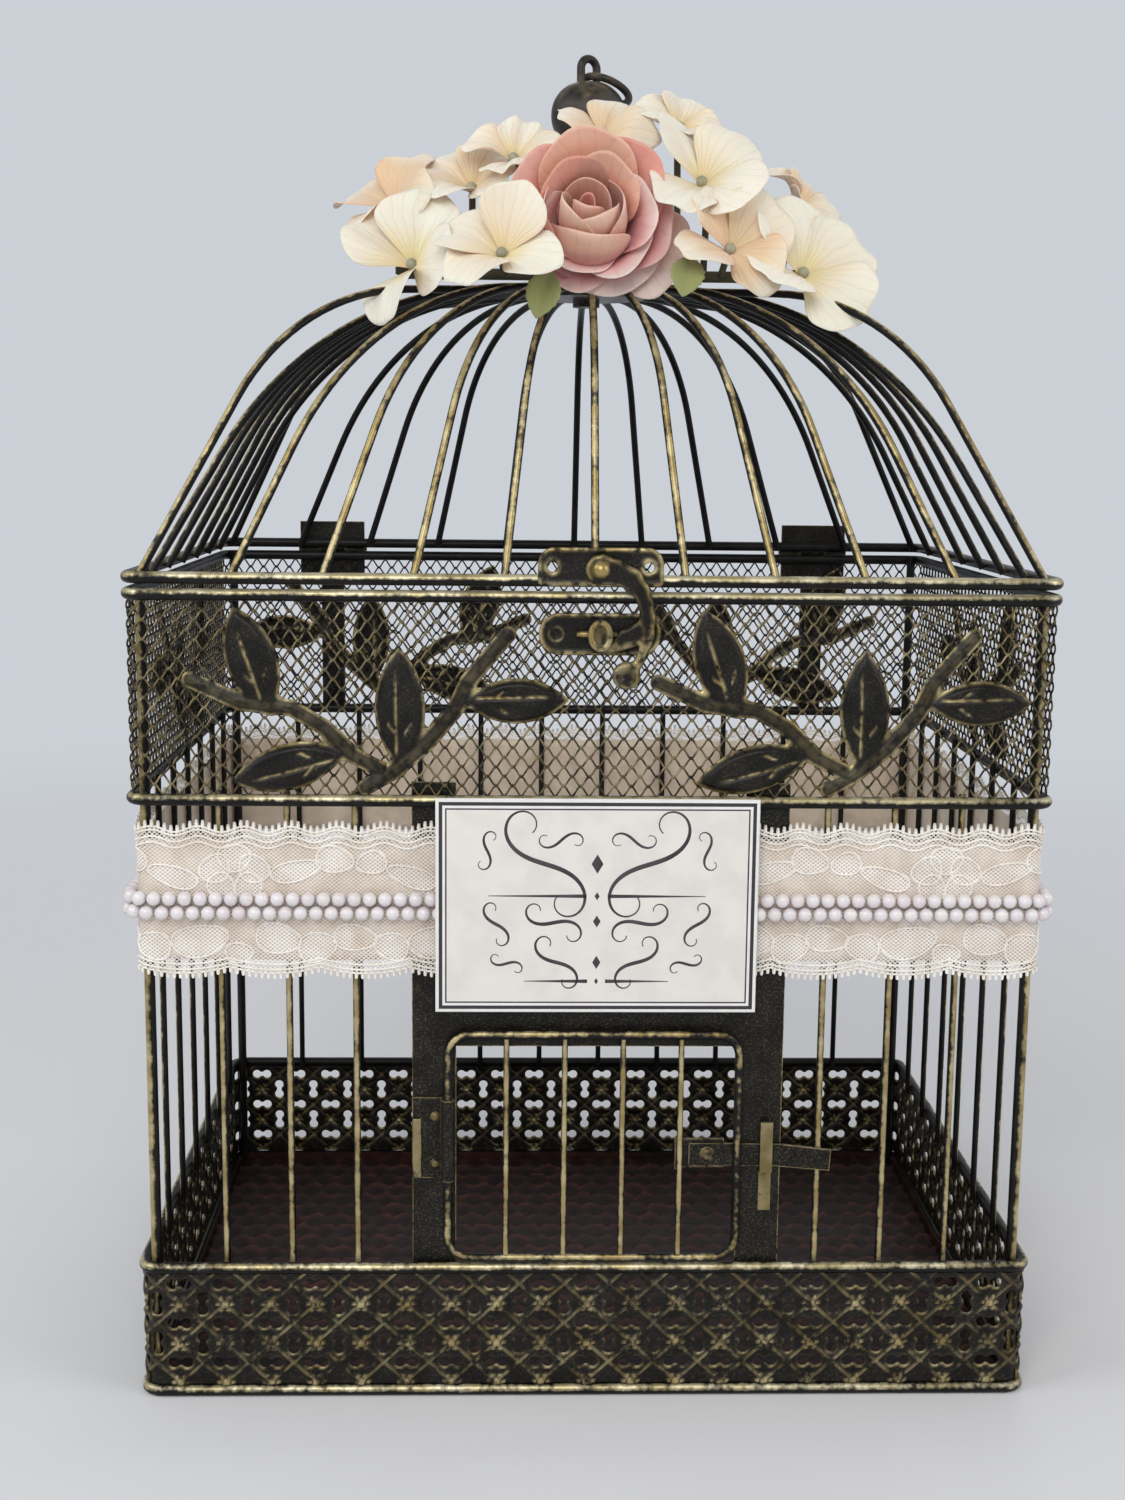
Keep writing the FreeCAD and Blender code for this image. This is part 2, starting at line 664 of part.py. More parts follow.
def door_keeper():
    """Strap on the right upright that steps outward to leave a slot, open at the top."""
    face = surround_face()
    low, high = KEEPER_Z
    foot = box_plate(KEEPER_X, (low, KEEPER_SEAT_Z), face, KEEPER_T)
    step = box_plate(KEEPER_X, (KEEPER_SEAT_Z - KEEPER_T, KEEPER_SEAT_Z), face, KEEPER_STANDOFF + KEEPER_T)
    finger = box_plate(KEEPER_X, (KEEPER_SEAT_Z - KEEPER_T, high), face + KEEPER_STANDOFF, KEEPER_T)
    return on_wall(joined([foot, step, finger]), "front")


# Lid clasp

def hasp_depth():
    return RING_R - WELD_BITE / 2


def hook_depth():
    return hasp_depth() + CLASP_T + HOOK_GAP


def hasp_plate():
    low, high = HASP_Z
    left, right = CLASP_X - HASP_HALF_W, CLASP_X + HASP_HALF_W
    depth = hasp_depth()
    upper = [disc_plate(x, high - HASP_CORNER, HASP_CORNER, depth, CLASP_T)
             for x in (left + HASP_CORNER, right - HASP_CORNER)]
    body = box_plate((left, right), (low, high - HASP_CORNER), depth, CLASP_T)
    brow = box_plate((left + HASP_CORNER, right - HASP_CORNER), (low, high), depth, CLASP_T)
    plate = joined([body, brow] + upper)
    for x in (CLASP_X - HASP_HOLE_HALF_SPACING, CLASP_X + HASP_HOLE_HALF_SPACING):
        plate = plate.cut(disc_plate(x, HASP_HOLE_Z, HASP_HOLE_R, depth, CLASP_T))
    return on_wall(plate.cut(disc_plate(CLASP_X, RIVET_Z, RIVET_R, depth, CLASP_T)), "front")


def hasp_rivet():
    front = hook_depth() + HOOK_T + RUNNING_GAP
    shank = disc_plate(CLASP_X, RIVET_Z, RIVET_R, hasp_depth(), front - hasp_depth())
    head = domed_head(CLASP_X, RIVET_Z, front, RIVET_HEAD_R, RIVET_HEAD_H)
    return on_wall(joined([shank, head]), "front")


def hook_sector(radii, degrees):
    """Plate between two arcs about the rivet."""
    inner, outer = radii
    start, end = (math.radians(a) for a in degrees)
    middle = (start + end) / 2
    depth = hook_depth()

    def at(radius, angle):
        return Vector(CLASP_X + radius * math.cos(angle), -depth, RIVET_Z + radius * math.sin(angle))

    outline = Part.Wire([
        Part.Arc(at(inner, start), at(inner, middle), at(inner, end)).toShape(),
        Part.LineSegment(at(inner, end), at(outer, end)).toShape(),
        Part.Arc(at(outer, end), at(outer, middle), at(outer, start)).toShape(),
        Part.LineSegment(at(outer, start), at(inner, start)).toShape(),
    ])
    return slab(outline, depth, HOOK_T)


def clasp_hook():
    """Eye, curved arm, drop handle, and a broad claw whose finger slides in under the stud's head."""
    depth = hook_depth()

    def placed(spot):
        x, z, radius = spot
        return CLASP_X + x, RIVET_Z + z, radius

    chain = [placed(spot) for spot in HOOK_ARM + HOOK_NECK]
    pieces = [tapered_link(a, b, depth, HOOK_T) for a, b in zip(chain, chain[1:])]
    ball_x, ball_z, ball_r = placed(HOOK_BALL)
    pieces.append(disc_plate(CLASP_X, RIVET_Z, HOOK_EYE_R, depth, HOOK_T))
    pieces.append(disc_plate(ball_x, ball_z, ball_r, depth, HOOK_T))
    pieces.append(hook_sector(HOOK_BLADE_R, HOOK_BLADE_DEG))
    pieces.append(hook_sector(HOOK_FINGER_R, HOOK_FINGER_DEG))
    hole = disc_plate(CLASP_X, RIVET_Z, RIVET_R + RUNNING_GAP, depth, HOOK_T)
    return on_wall(joined(pieces).cut(hole), "front")


def catch_plate():
    reach = CATCH_HALF_W - CATCH_HALF_H
    left = (CLASP_X - reach, CATCH_Z, CATCH_HALF_H)
    right = (CLASP_X + reach, CATCH_Z, CATCH_HALF_H)
    return on_wall(tapered_link(left, right, MESH_T / 2, CLASP_T), "front")


def catch_stud():
    plate_front = MESH_T / 2 + CLASP_T
    head_back = hook_depth() + HOOK_T + HOOK_GAP * 2
    neck = disc_plate(CLASP_X, CATCH_Z, STUD_NECK_R, plate_front, head_back - plate_front)
    head = domed_head(CLASP_X, CATCH_Z, head_back, STUD_HEAD_R, STUD_HEAD_H)
    return on_wall(joined([neck, head]), "front")


# Lid hinges. Drawn on the back wall, where depth is again outward.

def hinge_knuckle(x_range):
    start = Vector(x_range[0], -HINGE_AXIS_DEPTH, HINGE_AXIS_Z)
    length = x_range[1] - x_range[0]
    return Part.makeCylinder(HINGE_KNUCKLE_R, length, start, Vector(1, 0, 0))


def hinge_bore(x):
    start = Vector(x - HINGE_HALF_W, -HINGE_AXIS_DEPTH, HINGE_AXIS_Z)
    return Part.makeCylinder(HINGE_PIN_R + RUNNING_GAP, 2 * HINGE_HALF_W, start, Vector(1, 0, 0))


def hinge_leaf(x, up):
    """One leaf: the lid's has the middle knuckle, the body's has the two outer ones and a tail."""
    depth = RING_R - WELD_BITE / 2
    clear = HINGE_KNUCKLE_R + HINGE_GAP
    low, high = sorted((HINGE_AXIS_Z + up * clear, HINGE_AXIS_Z + up * HINGE_LEAF_H))
    pieces = [box_plate((x - HINGE_HALF_W, x + HINGE_HALF_W), (low, high), depth, HINGE_LEAF_T)]
    middle = (x - HINGE_MIDDLE_HALF_W, x + HINGE_MIDDLE_HALF_W)
    outer = ((x - HINGE_HALF_W, middle[0] - HINGE_GAP), (middle[1] + HINGE_GAP, x + HINGE_HALF_W))
    reach = sorted((HINGE_AXIS_Z, HINGE_AXIS_Z + up * (clear + HINGE_GAP)))
    for span in ((middle,) if up > 0 else outer):
        pieces.append(hinge_knuckle(span))
        pieces.append(box_plate(span, reach, depth, HINGE_LEAF_T))
    if up < 0:
        tail = (x - HINGE_TAIL_HALF_W, x + HINGE_TAIL_HALF_W)
        pieces.append(box_plate(tail, (MID_Z, low), depth, HINGE_LEAF_T))
    return joined(pieces).cut(hinge_bore(x))


def hinge_leaves(up):
    return on_wall(Part.makeCompound([hinge_leaf(x, up) for x in (-HINGE_X, HINGE_X)]), "back")


def hinge_pins():
    pins = []
    for x in (-HINGE_X, HINGE_X):
        start = Vector(x - HINGE_HALF_W, -HINGE_AXIS_DEPTH, HINGE_AXIS_Z)
        end = start + Vector(2 * HINGE_HALF_W, 0, 0)
        cap = Vector(HINGE_PIN_HEAD_T, 0, 0)
        pins.append(joined([rod(start, end, HINGE_PIN_R), rod(start - cap, start, HINGE_PIN_HEAD_R),
                            rod(end, end + cap, HINGE_PIN_HEAD_R)]))
    return on_wall(Part.makeCompound(pins), "back")


# Dome of the lid

def dome_feet():
    """Feet of all dome wires in order round the ring, each with the wall that it stands on."""
    x, y = corner_place(DOME_R, DOME_FOOT_BITE)
    along_x = even_spacing(x, DOME_FRONT_COUNT)
    along_y = even_spacing(y, DOME_SIDE_COUNT)
    edge_x = RING_HALF_X + DOME_DEPTH
    edge_y = RING_HALF_Y + DOME_DEPTH
    feet = [("corner", Vector(-x, -y, 0))] + [("front", Vector(u, -edge_y, 0)) for u in along_x]
    feet += [("corner", Vector(x, -y, 0))] + [("right", Vector(edge_x, u, 0)) for u in along_y]
    feet += [("corner", Vector(x, y, 0))] + [("back", Vector(-u, edge_y, 0)) for u in along_x]
    feet += [("corner", Vector(-x, y, 0))] + [("left", Vector(-edge_x, -u, 0)) for u in along_y]
    return feet


def dome_wire(foot, end, knee):
    """Leg, bend and top run in the upright plane through the foot and its place on the cap."""
    share, knee_z, bend_share = knee
    start = foot + UP * DOME_FOOT_Z
    corner = foot + (end - foot) * share + UP * knee_z
    finish = end + UP * DOME_END_Z
    leg = corner - start
    top = finish - corner
    bend = bend_share * min(leg.Length, top.Length)
    before = corner - leg.normalize() * bend
    foot_end = start - leg * DOME_FOOT_RUN
    after = corner + top.normalize() * bend
    turn = leg.getAngle(top)
    radius = bend / math.tan(turn / 2)
    inward = (top - leg).normalize()
    middle = corner + inward * (radius / math.cos(turn / 2) - radius)
    path = Part.Wire([
        Part.LineSegment(foot_end, before).toShape(),
        Part.Arc(before, middle, after).toShape(),
        Part.LineSegment(after, finish).toShape(),
    ])
    return swept_round(path, DOME_R)


def dome_groups():
    """Dome wires as one group for each wall and one for the corners."""
    feet = dome_feet()
    front_middle = 1 + DOME_FRONT_COUNT // 2
    groups = {}
    for i, (wall, foot) in enumerate(feet):
        angle = -math.pi / 2 + (i - front_middle) * 2 * math.pi / len(feet)
        reach = CAP_R - WELD_BITE
        end = Vector(reach * math.cos(angle), reach * math.sin(angle), 0)
        knee = CORNER_KNEE if wall == "corner" else WALL_KNEE
        groups.setdefault(wall, []).append(dome_wire(foot, end, knee))
    return {wall: Part.makeCompound(wires) for wall, wires in groups.items()}


def dome_cap():
    low, high = CAP_Z
    disc = Part.makeCylinder(CAP_R, high - low, Vector(0, 0, low))
    return disc.cut(Part.makeCylinder(BOLT_R, high - low, Vector(0, 0, low)))


# Finial, eye and carry ring

def finial_knob():
    rim = Vector(KNOB_BALL_R, 0, KNOB_BALL_Z)
    top = Vector(KNOB_TOP_R, 0, KNOB_TOP_Z)
    lower = Vector(KNOB_LOWER_MIDDLE[0], 0, KNOB_LOWER_MIDDLE[1])
    upper = Vector(KNOB_UPPER_MIDDLE[0], 0, KNOB_UPPER_MIDDLE[1])
    turned = [Vector(0, 0, KNOB_PROFILE[0][1])] + [Vector(r, 0, z) for r, z in KNOB_PROFILE]
    edges = [Part.LineSegment(a, b).toShape() for a, b in zip(turned, turned[1:])]
    edges += [
        Part.Arc(turned[-1], lower, rim).toShape(),
        Part.Arc(rim, upper, top).toShape(),
        Part.LineSegment(top, Vector(0, 0, KNOB_TOP_Z)).toShape(),
        Part.LineSegment(Vector(0, 0, KNOB_TOP_Z), turned[0]).toShape(),
    ]
    knob = Part.Face(Part.Wire(edges)).revolve(Vector(0, 0, 0), UP, 360)
    knob = knob.cut(rod(Vector(0, 0, CAP_Z[1]), Vector(0, 0, BOLT_TOP_Z), BOLT_R))
    return knob.cut(Part.makeCompound(eye_legs()))


def finial_bolt():
    under = Vector(0, 0, CAP_Z[0])
    head = rod(under - UP * BOLT_HEAD_H, under, BOLT_HEAD_R)
    return joined([head, rod(under, Vector(0, 0, BOLT_TOP_Z), BOLT_R)])


def eye_legs():
    """Legs of the eye, a wire staple set in the knob."""
    legs = []
    for side in (-1, 1):
        leg = rod(Vector(side * EYE_MAJOR_R, 0, EYE_FOOT_Z), Vector(side * EYE_MAJOR_R, 0, EYE_Z), EYE_WIRE_R)
        leg.rotate(Vector(0, 0, 0), UP, EYE_TURN)
        legs.append(leg)
    return legs


def finial_eye():
    section = Part.Face(Part.Wire(Part.makeCircle(EYE_WIRE_R, Vector(EYE_MAJOR_R, 0, EYE_Z), UP)))
    arch = section.revolve(Vector(0, 0, EYE_Z), -INTO, 180)
    arch.rotate(Vector(0, 0, 0), UP, EYE_TURN)
    return joined([arch] + eye_legs())


def carry_ring():
    """Loose ring through the eye, drooping to the right until it lies on the knob."""
    pivot = Vector(0, 0, CARRY_Z)
    droop = math.radians(CARRY_DROOP)
    middle = pivot + Vector(math.cos(droop), 0, -math.sin(droop)) * CARRY_MAJOR_R
    loop = Part.makeTorus(CARRY_MAJOR_R, CARRY_WIRE_R, middle, Vector(math.sin(droop), 0, math.cos(droop)))
    loop.rotate(Vector(0, 0, 0), UP, EYE_TURN)
    return loop


# Ribbon, lace, bead rows and card

def band_half(extra):
    return RING_HALF_X + BAR_OUTER_DEPTH + extra, RING_HALF_Y + BAR_OUTER_DEPTH + extra


def ribbon_band():
    half_x, half_y = band_half(0)
    return band(half_x, half_y, RIBBON_CORNER, RIBBON_T, RIBBON_Z)


def lace_band():
    half_x, half_y = band_half(RIBBON_T)
    return band(half_x, half_y, RIBBON_CORNER + RIBBON_T, LACE_T, LACE_Z)


def bead_rows():
    reach = RIBBON_T + LACE_T + BEAD_R
    half_x, half_y = band_half(reach)
    rows = [flat_ring(half_x, half_y, RIBBON_CORNER + reach, z, BEAD_R) for z in BEAD_ROWS_Z]
    return Part.makeCompound(rows)


def lace_face():
    """Depth of the lace's outer face."""
    return BAR_OUTER_DEPTH + RIBBON_T + LACE_T


def card_back():
    """Depth of the card's back, just clear of the bead rows."""
    return lace_face() + 2 * BEAD_R + CARD_BEAD_GAP


def sign_card():
    return on_wall(box_plate(CARD_X, CARD_Z, card_back(), CARD_T), "front")


def card_pads():
    pads = [box_plate((x - PAD_HALF, x + PAD_HALF), (z - PAD_HALF, z + PAD_HALF), lace_face(),
                      card_back() - lace_face()) for x in PAD_X for z in PAD_Z]
    return on_wall(Part.makeCompound(pads), "front")


# Silk flowers

def facing(shape, centre, direction):
    """Turn a shape drawn about the origin so that its +Z looks along a direction, and place it."""
    placed = shape.copy()
    placed.Placement = FreeCAD.Placement(Vector(*centre), FreeCAD.Rotation(UP, Vector(*direction)))
    return placed


def rose_bloom():
    """Nested round cups of petals, widest at the back."""
    pieces = []
    for radius, base, rim in ROSE_CUPS:
        foot = base - ROSE_BASE_DEPTH
        inside = base + ROSE_LIP
        profile = ((0, foot), (ROSE_BASE_R, foot), (radius * ROSE_WAIST_SHARE, base), (radius, rim),
                   (radius - ROSE_LIP, rim), (radius * ROSE_HOLLOW_SHARE, inside), (0, inside))
        corners = [Vector(r, 0, z) for r, z in profile]
        outline = Part.makePolygon(corners + corners[:1])
        pieces.append(Part.Face(outline).revolve(Vector(0, 0, 0), UP, 360))
    return facing(joined(pieces), ROSE_CENTRE, ROSE_FACING)


def blossom(radius):
    """Four round petals, a little cupped, about a small eye."""
    petal_r = radius * PETAL_SHARE
    petals = []
    for quarter in range(4):
        petal = Part.makeCylinder(petal_r, PETAL_T, Vector(radius - petal_r, 0, 0))
        petal.rotate(Vector(0, 0, 0), INTO, -PETAL_CUP_DEG)
        petal.rotate(Vector(0, 0, 0), UP, 90 * quarter + 45)
        petals.append(petal)
    return joined(petals + [Part.makeSphere(BLOSSOM_EYE_R)])


def blossoms(group):
    placed = [facing(blossom(radius), centre, direction) for centre, direction, radius in group]
    return joined(placed)


def green_leaves():
    leaves = []
    for base, tip in LEAF_SPOTS:
        leaf = pointed_leaf((0, 0), (GREEN_LEAF_L, 0), GREEN_LEAF_W, 0, GREEN_LEAF_T)
        along = Vector(*tip) - Vector(*base)
        leaf.Placement = FreeCAD.Placement(Vector(*base), FreeCAD.Rotation(Vector(1, 0, 0), along))
        leaves.append(leaf)
    return Part.makeCompound(leaves)


def flower_stems():
    """Main stem across the dome with a branch to the back of every bloom."""
    main = rod(Vector(-STEM_HALF_L, STEM_Y, STEM_Z), Vector(STEM_HALF_L, STEM_Y, STEM_Z), STEM_R)
    branches = [main]
    targets = [centre for centre, _, _ in BLOSSOMS_LEFT + BLOSSOMS_RIGHT] + [ROSE_CENTRE]
    targets += [base for base, _ in LEAF_SPOTS]
    for x, y, z in targets:
        root_x = max(-STEM_HALF_L, min(STEM_HALF_L, x))
        branches.append(rod(Vector(root_x, STEM_Y, STEM_Z), Vector(x, y, z), BRANCH_R))
    return joined(branches)


def build():
    """All pieces by node name."""
    pieces = {
        "base_bottom_ring": wall_ring(BASE_BOTTOM_Z),
        "base_top_ring": wall_ring(BASE_TOP_Z),
        "mid_ring": wall_ring(MID_Z),
        "body_top_ring": wall_ring(BODY_TOP_Z),
        "corner_posts": corner_posts(),
        "front_bars": wall_bars("front", [s * x for s in (-1, 1) for x in FRONT_BAR_X]),
        "back_bars": wall_bars("back", even_spacing(post_place()[0], BACK_BAR_COUNT)),
        "floor_pan": floor_pan(),
        "leaf_sprigs_front": sprig_group("front", SPRIG_X),
        "leaf_sprigs_back": sprig_group("back", SPRIG_X),
        "door_surround": door_surround(),
        "door_hinge_strap": door_hinge_strap(),
        "door_hinge_rivets": door_hinge_rivets(),
        "door_keeper": door_keeper(),
        "door_frame": door_frame(),
        "door_wires": door_wires(),
        "door_latch_lug": door_latch_lug(),
        "door_latch_rivet": door_latch_rivet(),
        "door_latch_lever": door_latch_lever(),
        "hasp_plate": hasp_plate(),
        "hasp_rivet": hasp_rivet(),
        "clasp_hook": clasp_hook(),
        "catch_plate": catch_plate(),
        "catch_stud": catch_stud(),
        "hinge_body_leaves": hinge_leaves(-1),
        "hinge_lid_leaves": hinge_leaves(1),
        "hinge_pins": hinge_pins(),
        "lid_ring": wall_ring(LID_Z),
        "dome_cap": dome_cap(),
        "finial_knob": finial_knob(),
        "finial_bolt": finial_bolt(),
        "finial_eye": finial_eye(),
        "carry_ring": carry_ring(),
        "ribbon_band": ribbon_band(),
        "lace_band": lace_band(),
        "bead_rows": bead_rows(),
        "sign_card": sign_card(),
        "card_pads": card_pads(),
        "rose_bloom": rose_bloom(),
        "hydrangea_left": blossoms(BLOSSOMS_LEFT),
        "hydrangea_right": blossoms(BLOSSOMS_RIGHT),
        "green_leaves": green_leaves(),
        "flower_stems": flower_stems(),
    }
    for wall in WALLS:
        pieces["base_lattice_" + wall] = lattice_panel(wall)
        pieces["mesh_panel_" + wall] = mesh_panel(wall)
    for wall in ("left", "right"):
        pieces["side_bars_" + wall] = wall_bars(wall, even_spacing(post_place()[1], SIDE_BAR_COUNT))
        pieces["leaf_sprig_" + wall] = sprig_group(wall, (SIDE_SPRIG_X,))
    for wall, wires in dome_groups().items():
        pieces["dome_wires_" + wall] = wires
    return pieces


os.makedirs("parts", exist_ok=True)
for node, shape in build().items():
    shape.exportStep("parts/" + node + ".step")
    state = "valid" if shape.isValid() else "NOT VALID"
    print(node, state, len(shape.Solids), "solids", round(shape.Volume, 1))
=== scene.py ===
import logging
import math
import random
from dataclasses import dataclass
from enum import Enum
from functools import partial
from typing import Callable, Dict, List, Optional, Sequence, Tuple, Union

import bpy
import numpy as np
from mathutils import Matrix, Vector


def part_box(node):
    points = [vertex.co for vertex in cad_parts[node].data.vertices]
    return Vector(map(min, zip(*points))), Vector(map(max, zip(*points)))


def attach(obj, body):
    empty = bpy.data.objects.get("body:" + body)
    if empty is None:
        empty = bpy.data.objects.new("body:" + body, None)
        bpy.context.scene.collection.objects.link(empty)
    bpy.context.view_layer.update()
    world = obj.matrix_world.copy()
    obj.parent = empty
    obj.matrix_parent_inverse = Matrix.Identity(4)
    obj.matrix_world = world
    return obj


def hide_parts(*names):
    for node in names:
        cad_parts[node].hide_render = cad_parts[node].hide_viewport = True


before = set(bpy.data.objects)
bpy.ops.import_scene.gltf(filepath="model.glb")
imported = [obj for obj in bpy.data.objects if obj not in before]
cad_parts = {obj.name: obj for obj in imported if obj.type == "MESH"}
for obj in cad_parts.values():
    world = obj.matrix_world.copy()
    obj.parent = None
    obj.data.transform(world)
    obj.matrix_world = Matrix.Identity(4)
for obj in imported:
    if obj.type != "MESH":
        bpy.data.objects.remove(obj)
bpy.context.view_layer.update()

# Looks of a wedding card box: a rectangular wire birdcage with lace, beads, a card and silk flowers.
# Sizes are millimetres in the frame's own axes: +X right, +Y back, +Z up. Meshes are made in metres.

LOG = logging.getLogger("card_box")
MM = 0.001

Array = np.ndarray
Colour = Tuple[float, float, float]
Flat = Tuple[float, float]
Triple = Tuple[float, float, float]
Leaf = Tuple[Flat, Flat, float]
Thing = bpy.types.Object
Material = bpy.types.Material
Node = bpy.types.Node
Plug = bpy.types.NodeSocket
Socket = Union["Signal", Plug, float, Colour]
Outline = Callable[[Array, Array], Array]

UP: Triple = (0.0, 0.0, 1.0)
BLACK: Colour = (0.0, 0.0, 0.0)
CLOTH_VALUES = ("u_mm", "z_mm", "motif")
PETAL_VALUES = ("along", "across", "tint", "pale")


# Mesh helpers


def unit(vectors: Array) -> Array:
    """Scale vectors, in rows, to a length of one."""
    return vectors / np.maximum(np.linalg.norm(vectors, axis=-1, keepdims=True), 1e-9)


def smooth_step(values: Array, low: float, high: float) -> Array:
    """Ease values from 0 at low to 1 at high."""
    share = np.clip((values - low) / (high - low), 0.0, 1.0)
    return share * share * (3.0 - 2.0 * share)


def bell(values: Array, middle: float, width: float) -> Array:
    """Soft hump of height one about a middle."""
    return np.exp(-((values - middle) / width) ** 2)


def arch(share: Array) -> Array:
    """Height of a round arch: one at a share of 0, none from a share of 1 on."""
    return np.sqrt(np.clip(1 - share ** 2, 0, 1))


def full_turn(count: int) -> Array:
    """Angles once round, evenly spread."""
    return np.linspace(0, 2 * math.pi, count, endpoint=False)


def turned(points: Array, angle: float, axis: str) -> Array:
    """Turn points in rows about an axis through the origin."""
    return points @ np.array(Matrix.Rotation(angle, 3, axis)).T


def spread(value: object, count: int) -> Array:
    """Give one value to each of a count, or keep the ones that are given."""
    return np.broadcast_to(np.asarray(value, float).reshape(-1), (count,))


def grid_faces(rows: int, columns: int, wrap: bool = False) -> Array:
    """Make the four-sided faces of a grid of points.

    Args:
        rows: Rows of points.
        columns: Points in each row.
        wrap: Whether the last column joins the first.

    Returns:
        One row of four point numbers for each face.
    """
    first = np.arange(columns if wrap else columns - 1)
    after = (first + 1) % columns
    base = np.arange(rows - 1)[:, None] * columns
    above = base + columns
    return np.stack([base + first, base + after, above + after, above + first], -1).reshape(-1, 4)


def from_line(x: Array, z: Array, start: Sequence[float], end: Sequence[float]) -> Tuple[Array, Array]:
    """Measure points from a straight line.

    Args:
        x: Across measures.
        z: Up measures.
        start: Start of the line.
        end: End of the line.

    Returns:
        Distance from the line and share along it.
    """
    dx, dz = end[0] - start[0], end[1] - start[1]
    share = np.clip(((x - start[0]) * dx + (z - start[1]) * dz) / (dx * dx + dz * dz), 0, 1)
    return np.hypot(x - start[0] - share * dx, z - start[1] - share * dz), share


def from_rounded_box(x: Array, z: Array, half_x: float, half_z: float, corner: object) -> Array:
    """Signed distance to a rounded rectangle about the origin, below zero inside it."""
    dx, dz = np.abs(x) - half_x + corner, np.abs(z) - half_z + corner
    return np.hypot(np.clip(dx, 0, None), np.clip(dz, 0, None)) + np.minimum(np.maximum(dx, dz), 0) - corner


def soft_union(parts: Sequence[Array], blend: float, limit: float = 40.0) -> Array:
    """Signed distance to several shapes, joined with soft inner corners."""
    return -blend * np.log(sum(np.exp(-np.clip(part, -limit, limit) / blend) for part in parts))


def stamped_grid(u_range: Flat, z_range: Flat, cell: Flat, distance: Outline,
                 trim_rim: bool = True) -> Tuple[Array, Array, Array]:
    """Cut a flat grid along a curve where a signed distance is zero.

    Args:
        u_range: Span across.
        z_range: Span up.
        cell: Size of a cell across and up.
        distance: Signed distance, below zero where there is sheet.
        trim_rim: Whether the outer rim may move to the curve too.

    Returns:
        Across and up measures of the points that are kept, and the faces between them.
    """
    spans = (u_range[1] - u_range[0], z_range[1] - z_range[0])
    nu, nz = (round(span / size) for span, size in zip(spans, cell))
    u, z = np.meshgrid(np.linspace(*u_range, nu + 1), np.linspace(*z_range, nz + 1))
    sheet = distance((u[:-1, :-1] + u[1:, 1:]) / 2, (z[:-1, :-1] + z[1:, 1:]) / 2) < 0
    padded = np.pad(sheet, 1, constant_values=not trim_rim)
    beside = np.stack([padded[:-1, :-1], padded[1:, :-1], padded[:-1, 1:], padded[1:, 1:]])
    edge = beside.any(0) & ~beside.all(0)
    small, least_slope, most_cells = 0.05, 0.2, 0.9
    du = (distance(u + small, z) - distance(u - small, z)) / (2 * small)
    dz = (distance(u, z + small) - distance(u, z - small)) / (2 * small)
    slope = np.maximum(du * du + dz * dz, least_slope)
    reach = most_cells * max(spans[0] / nu, spans[1] / nz)
    shift = np.where(edge, np.clip(distance(u, z), -reach, reach), 0.0) / slope
    faces = grid_faces(nz + 1, nu + 1)[sheet.reshape(-1)]
    used, renumbered = np.unique(faces, return_inverse=True)
    return (u - shift * du).reshape(-1)[used], (z - shift * dz).reshape(-1)[used], renumbered.reshape(-1, 4)


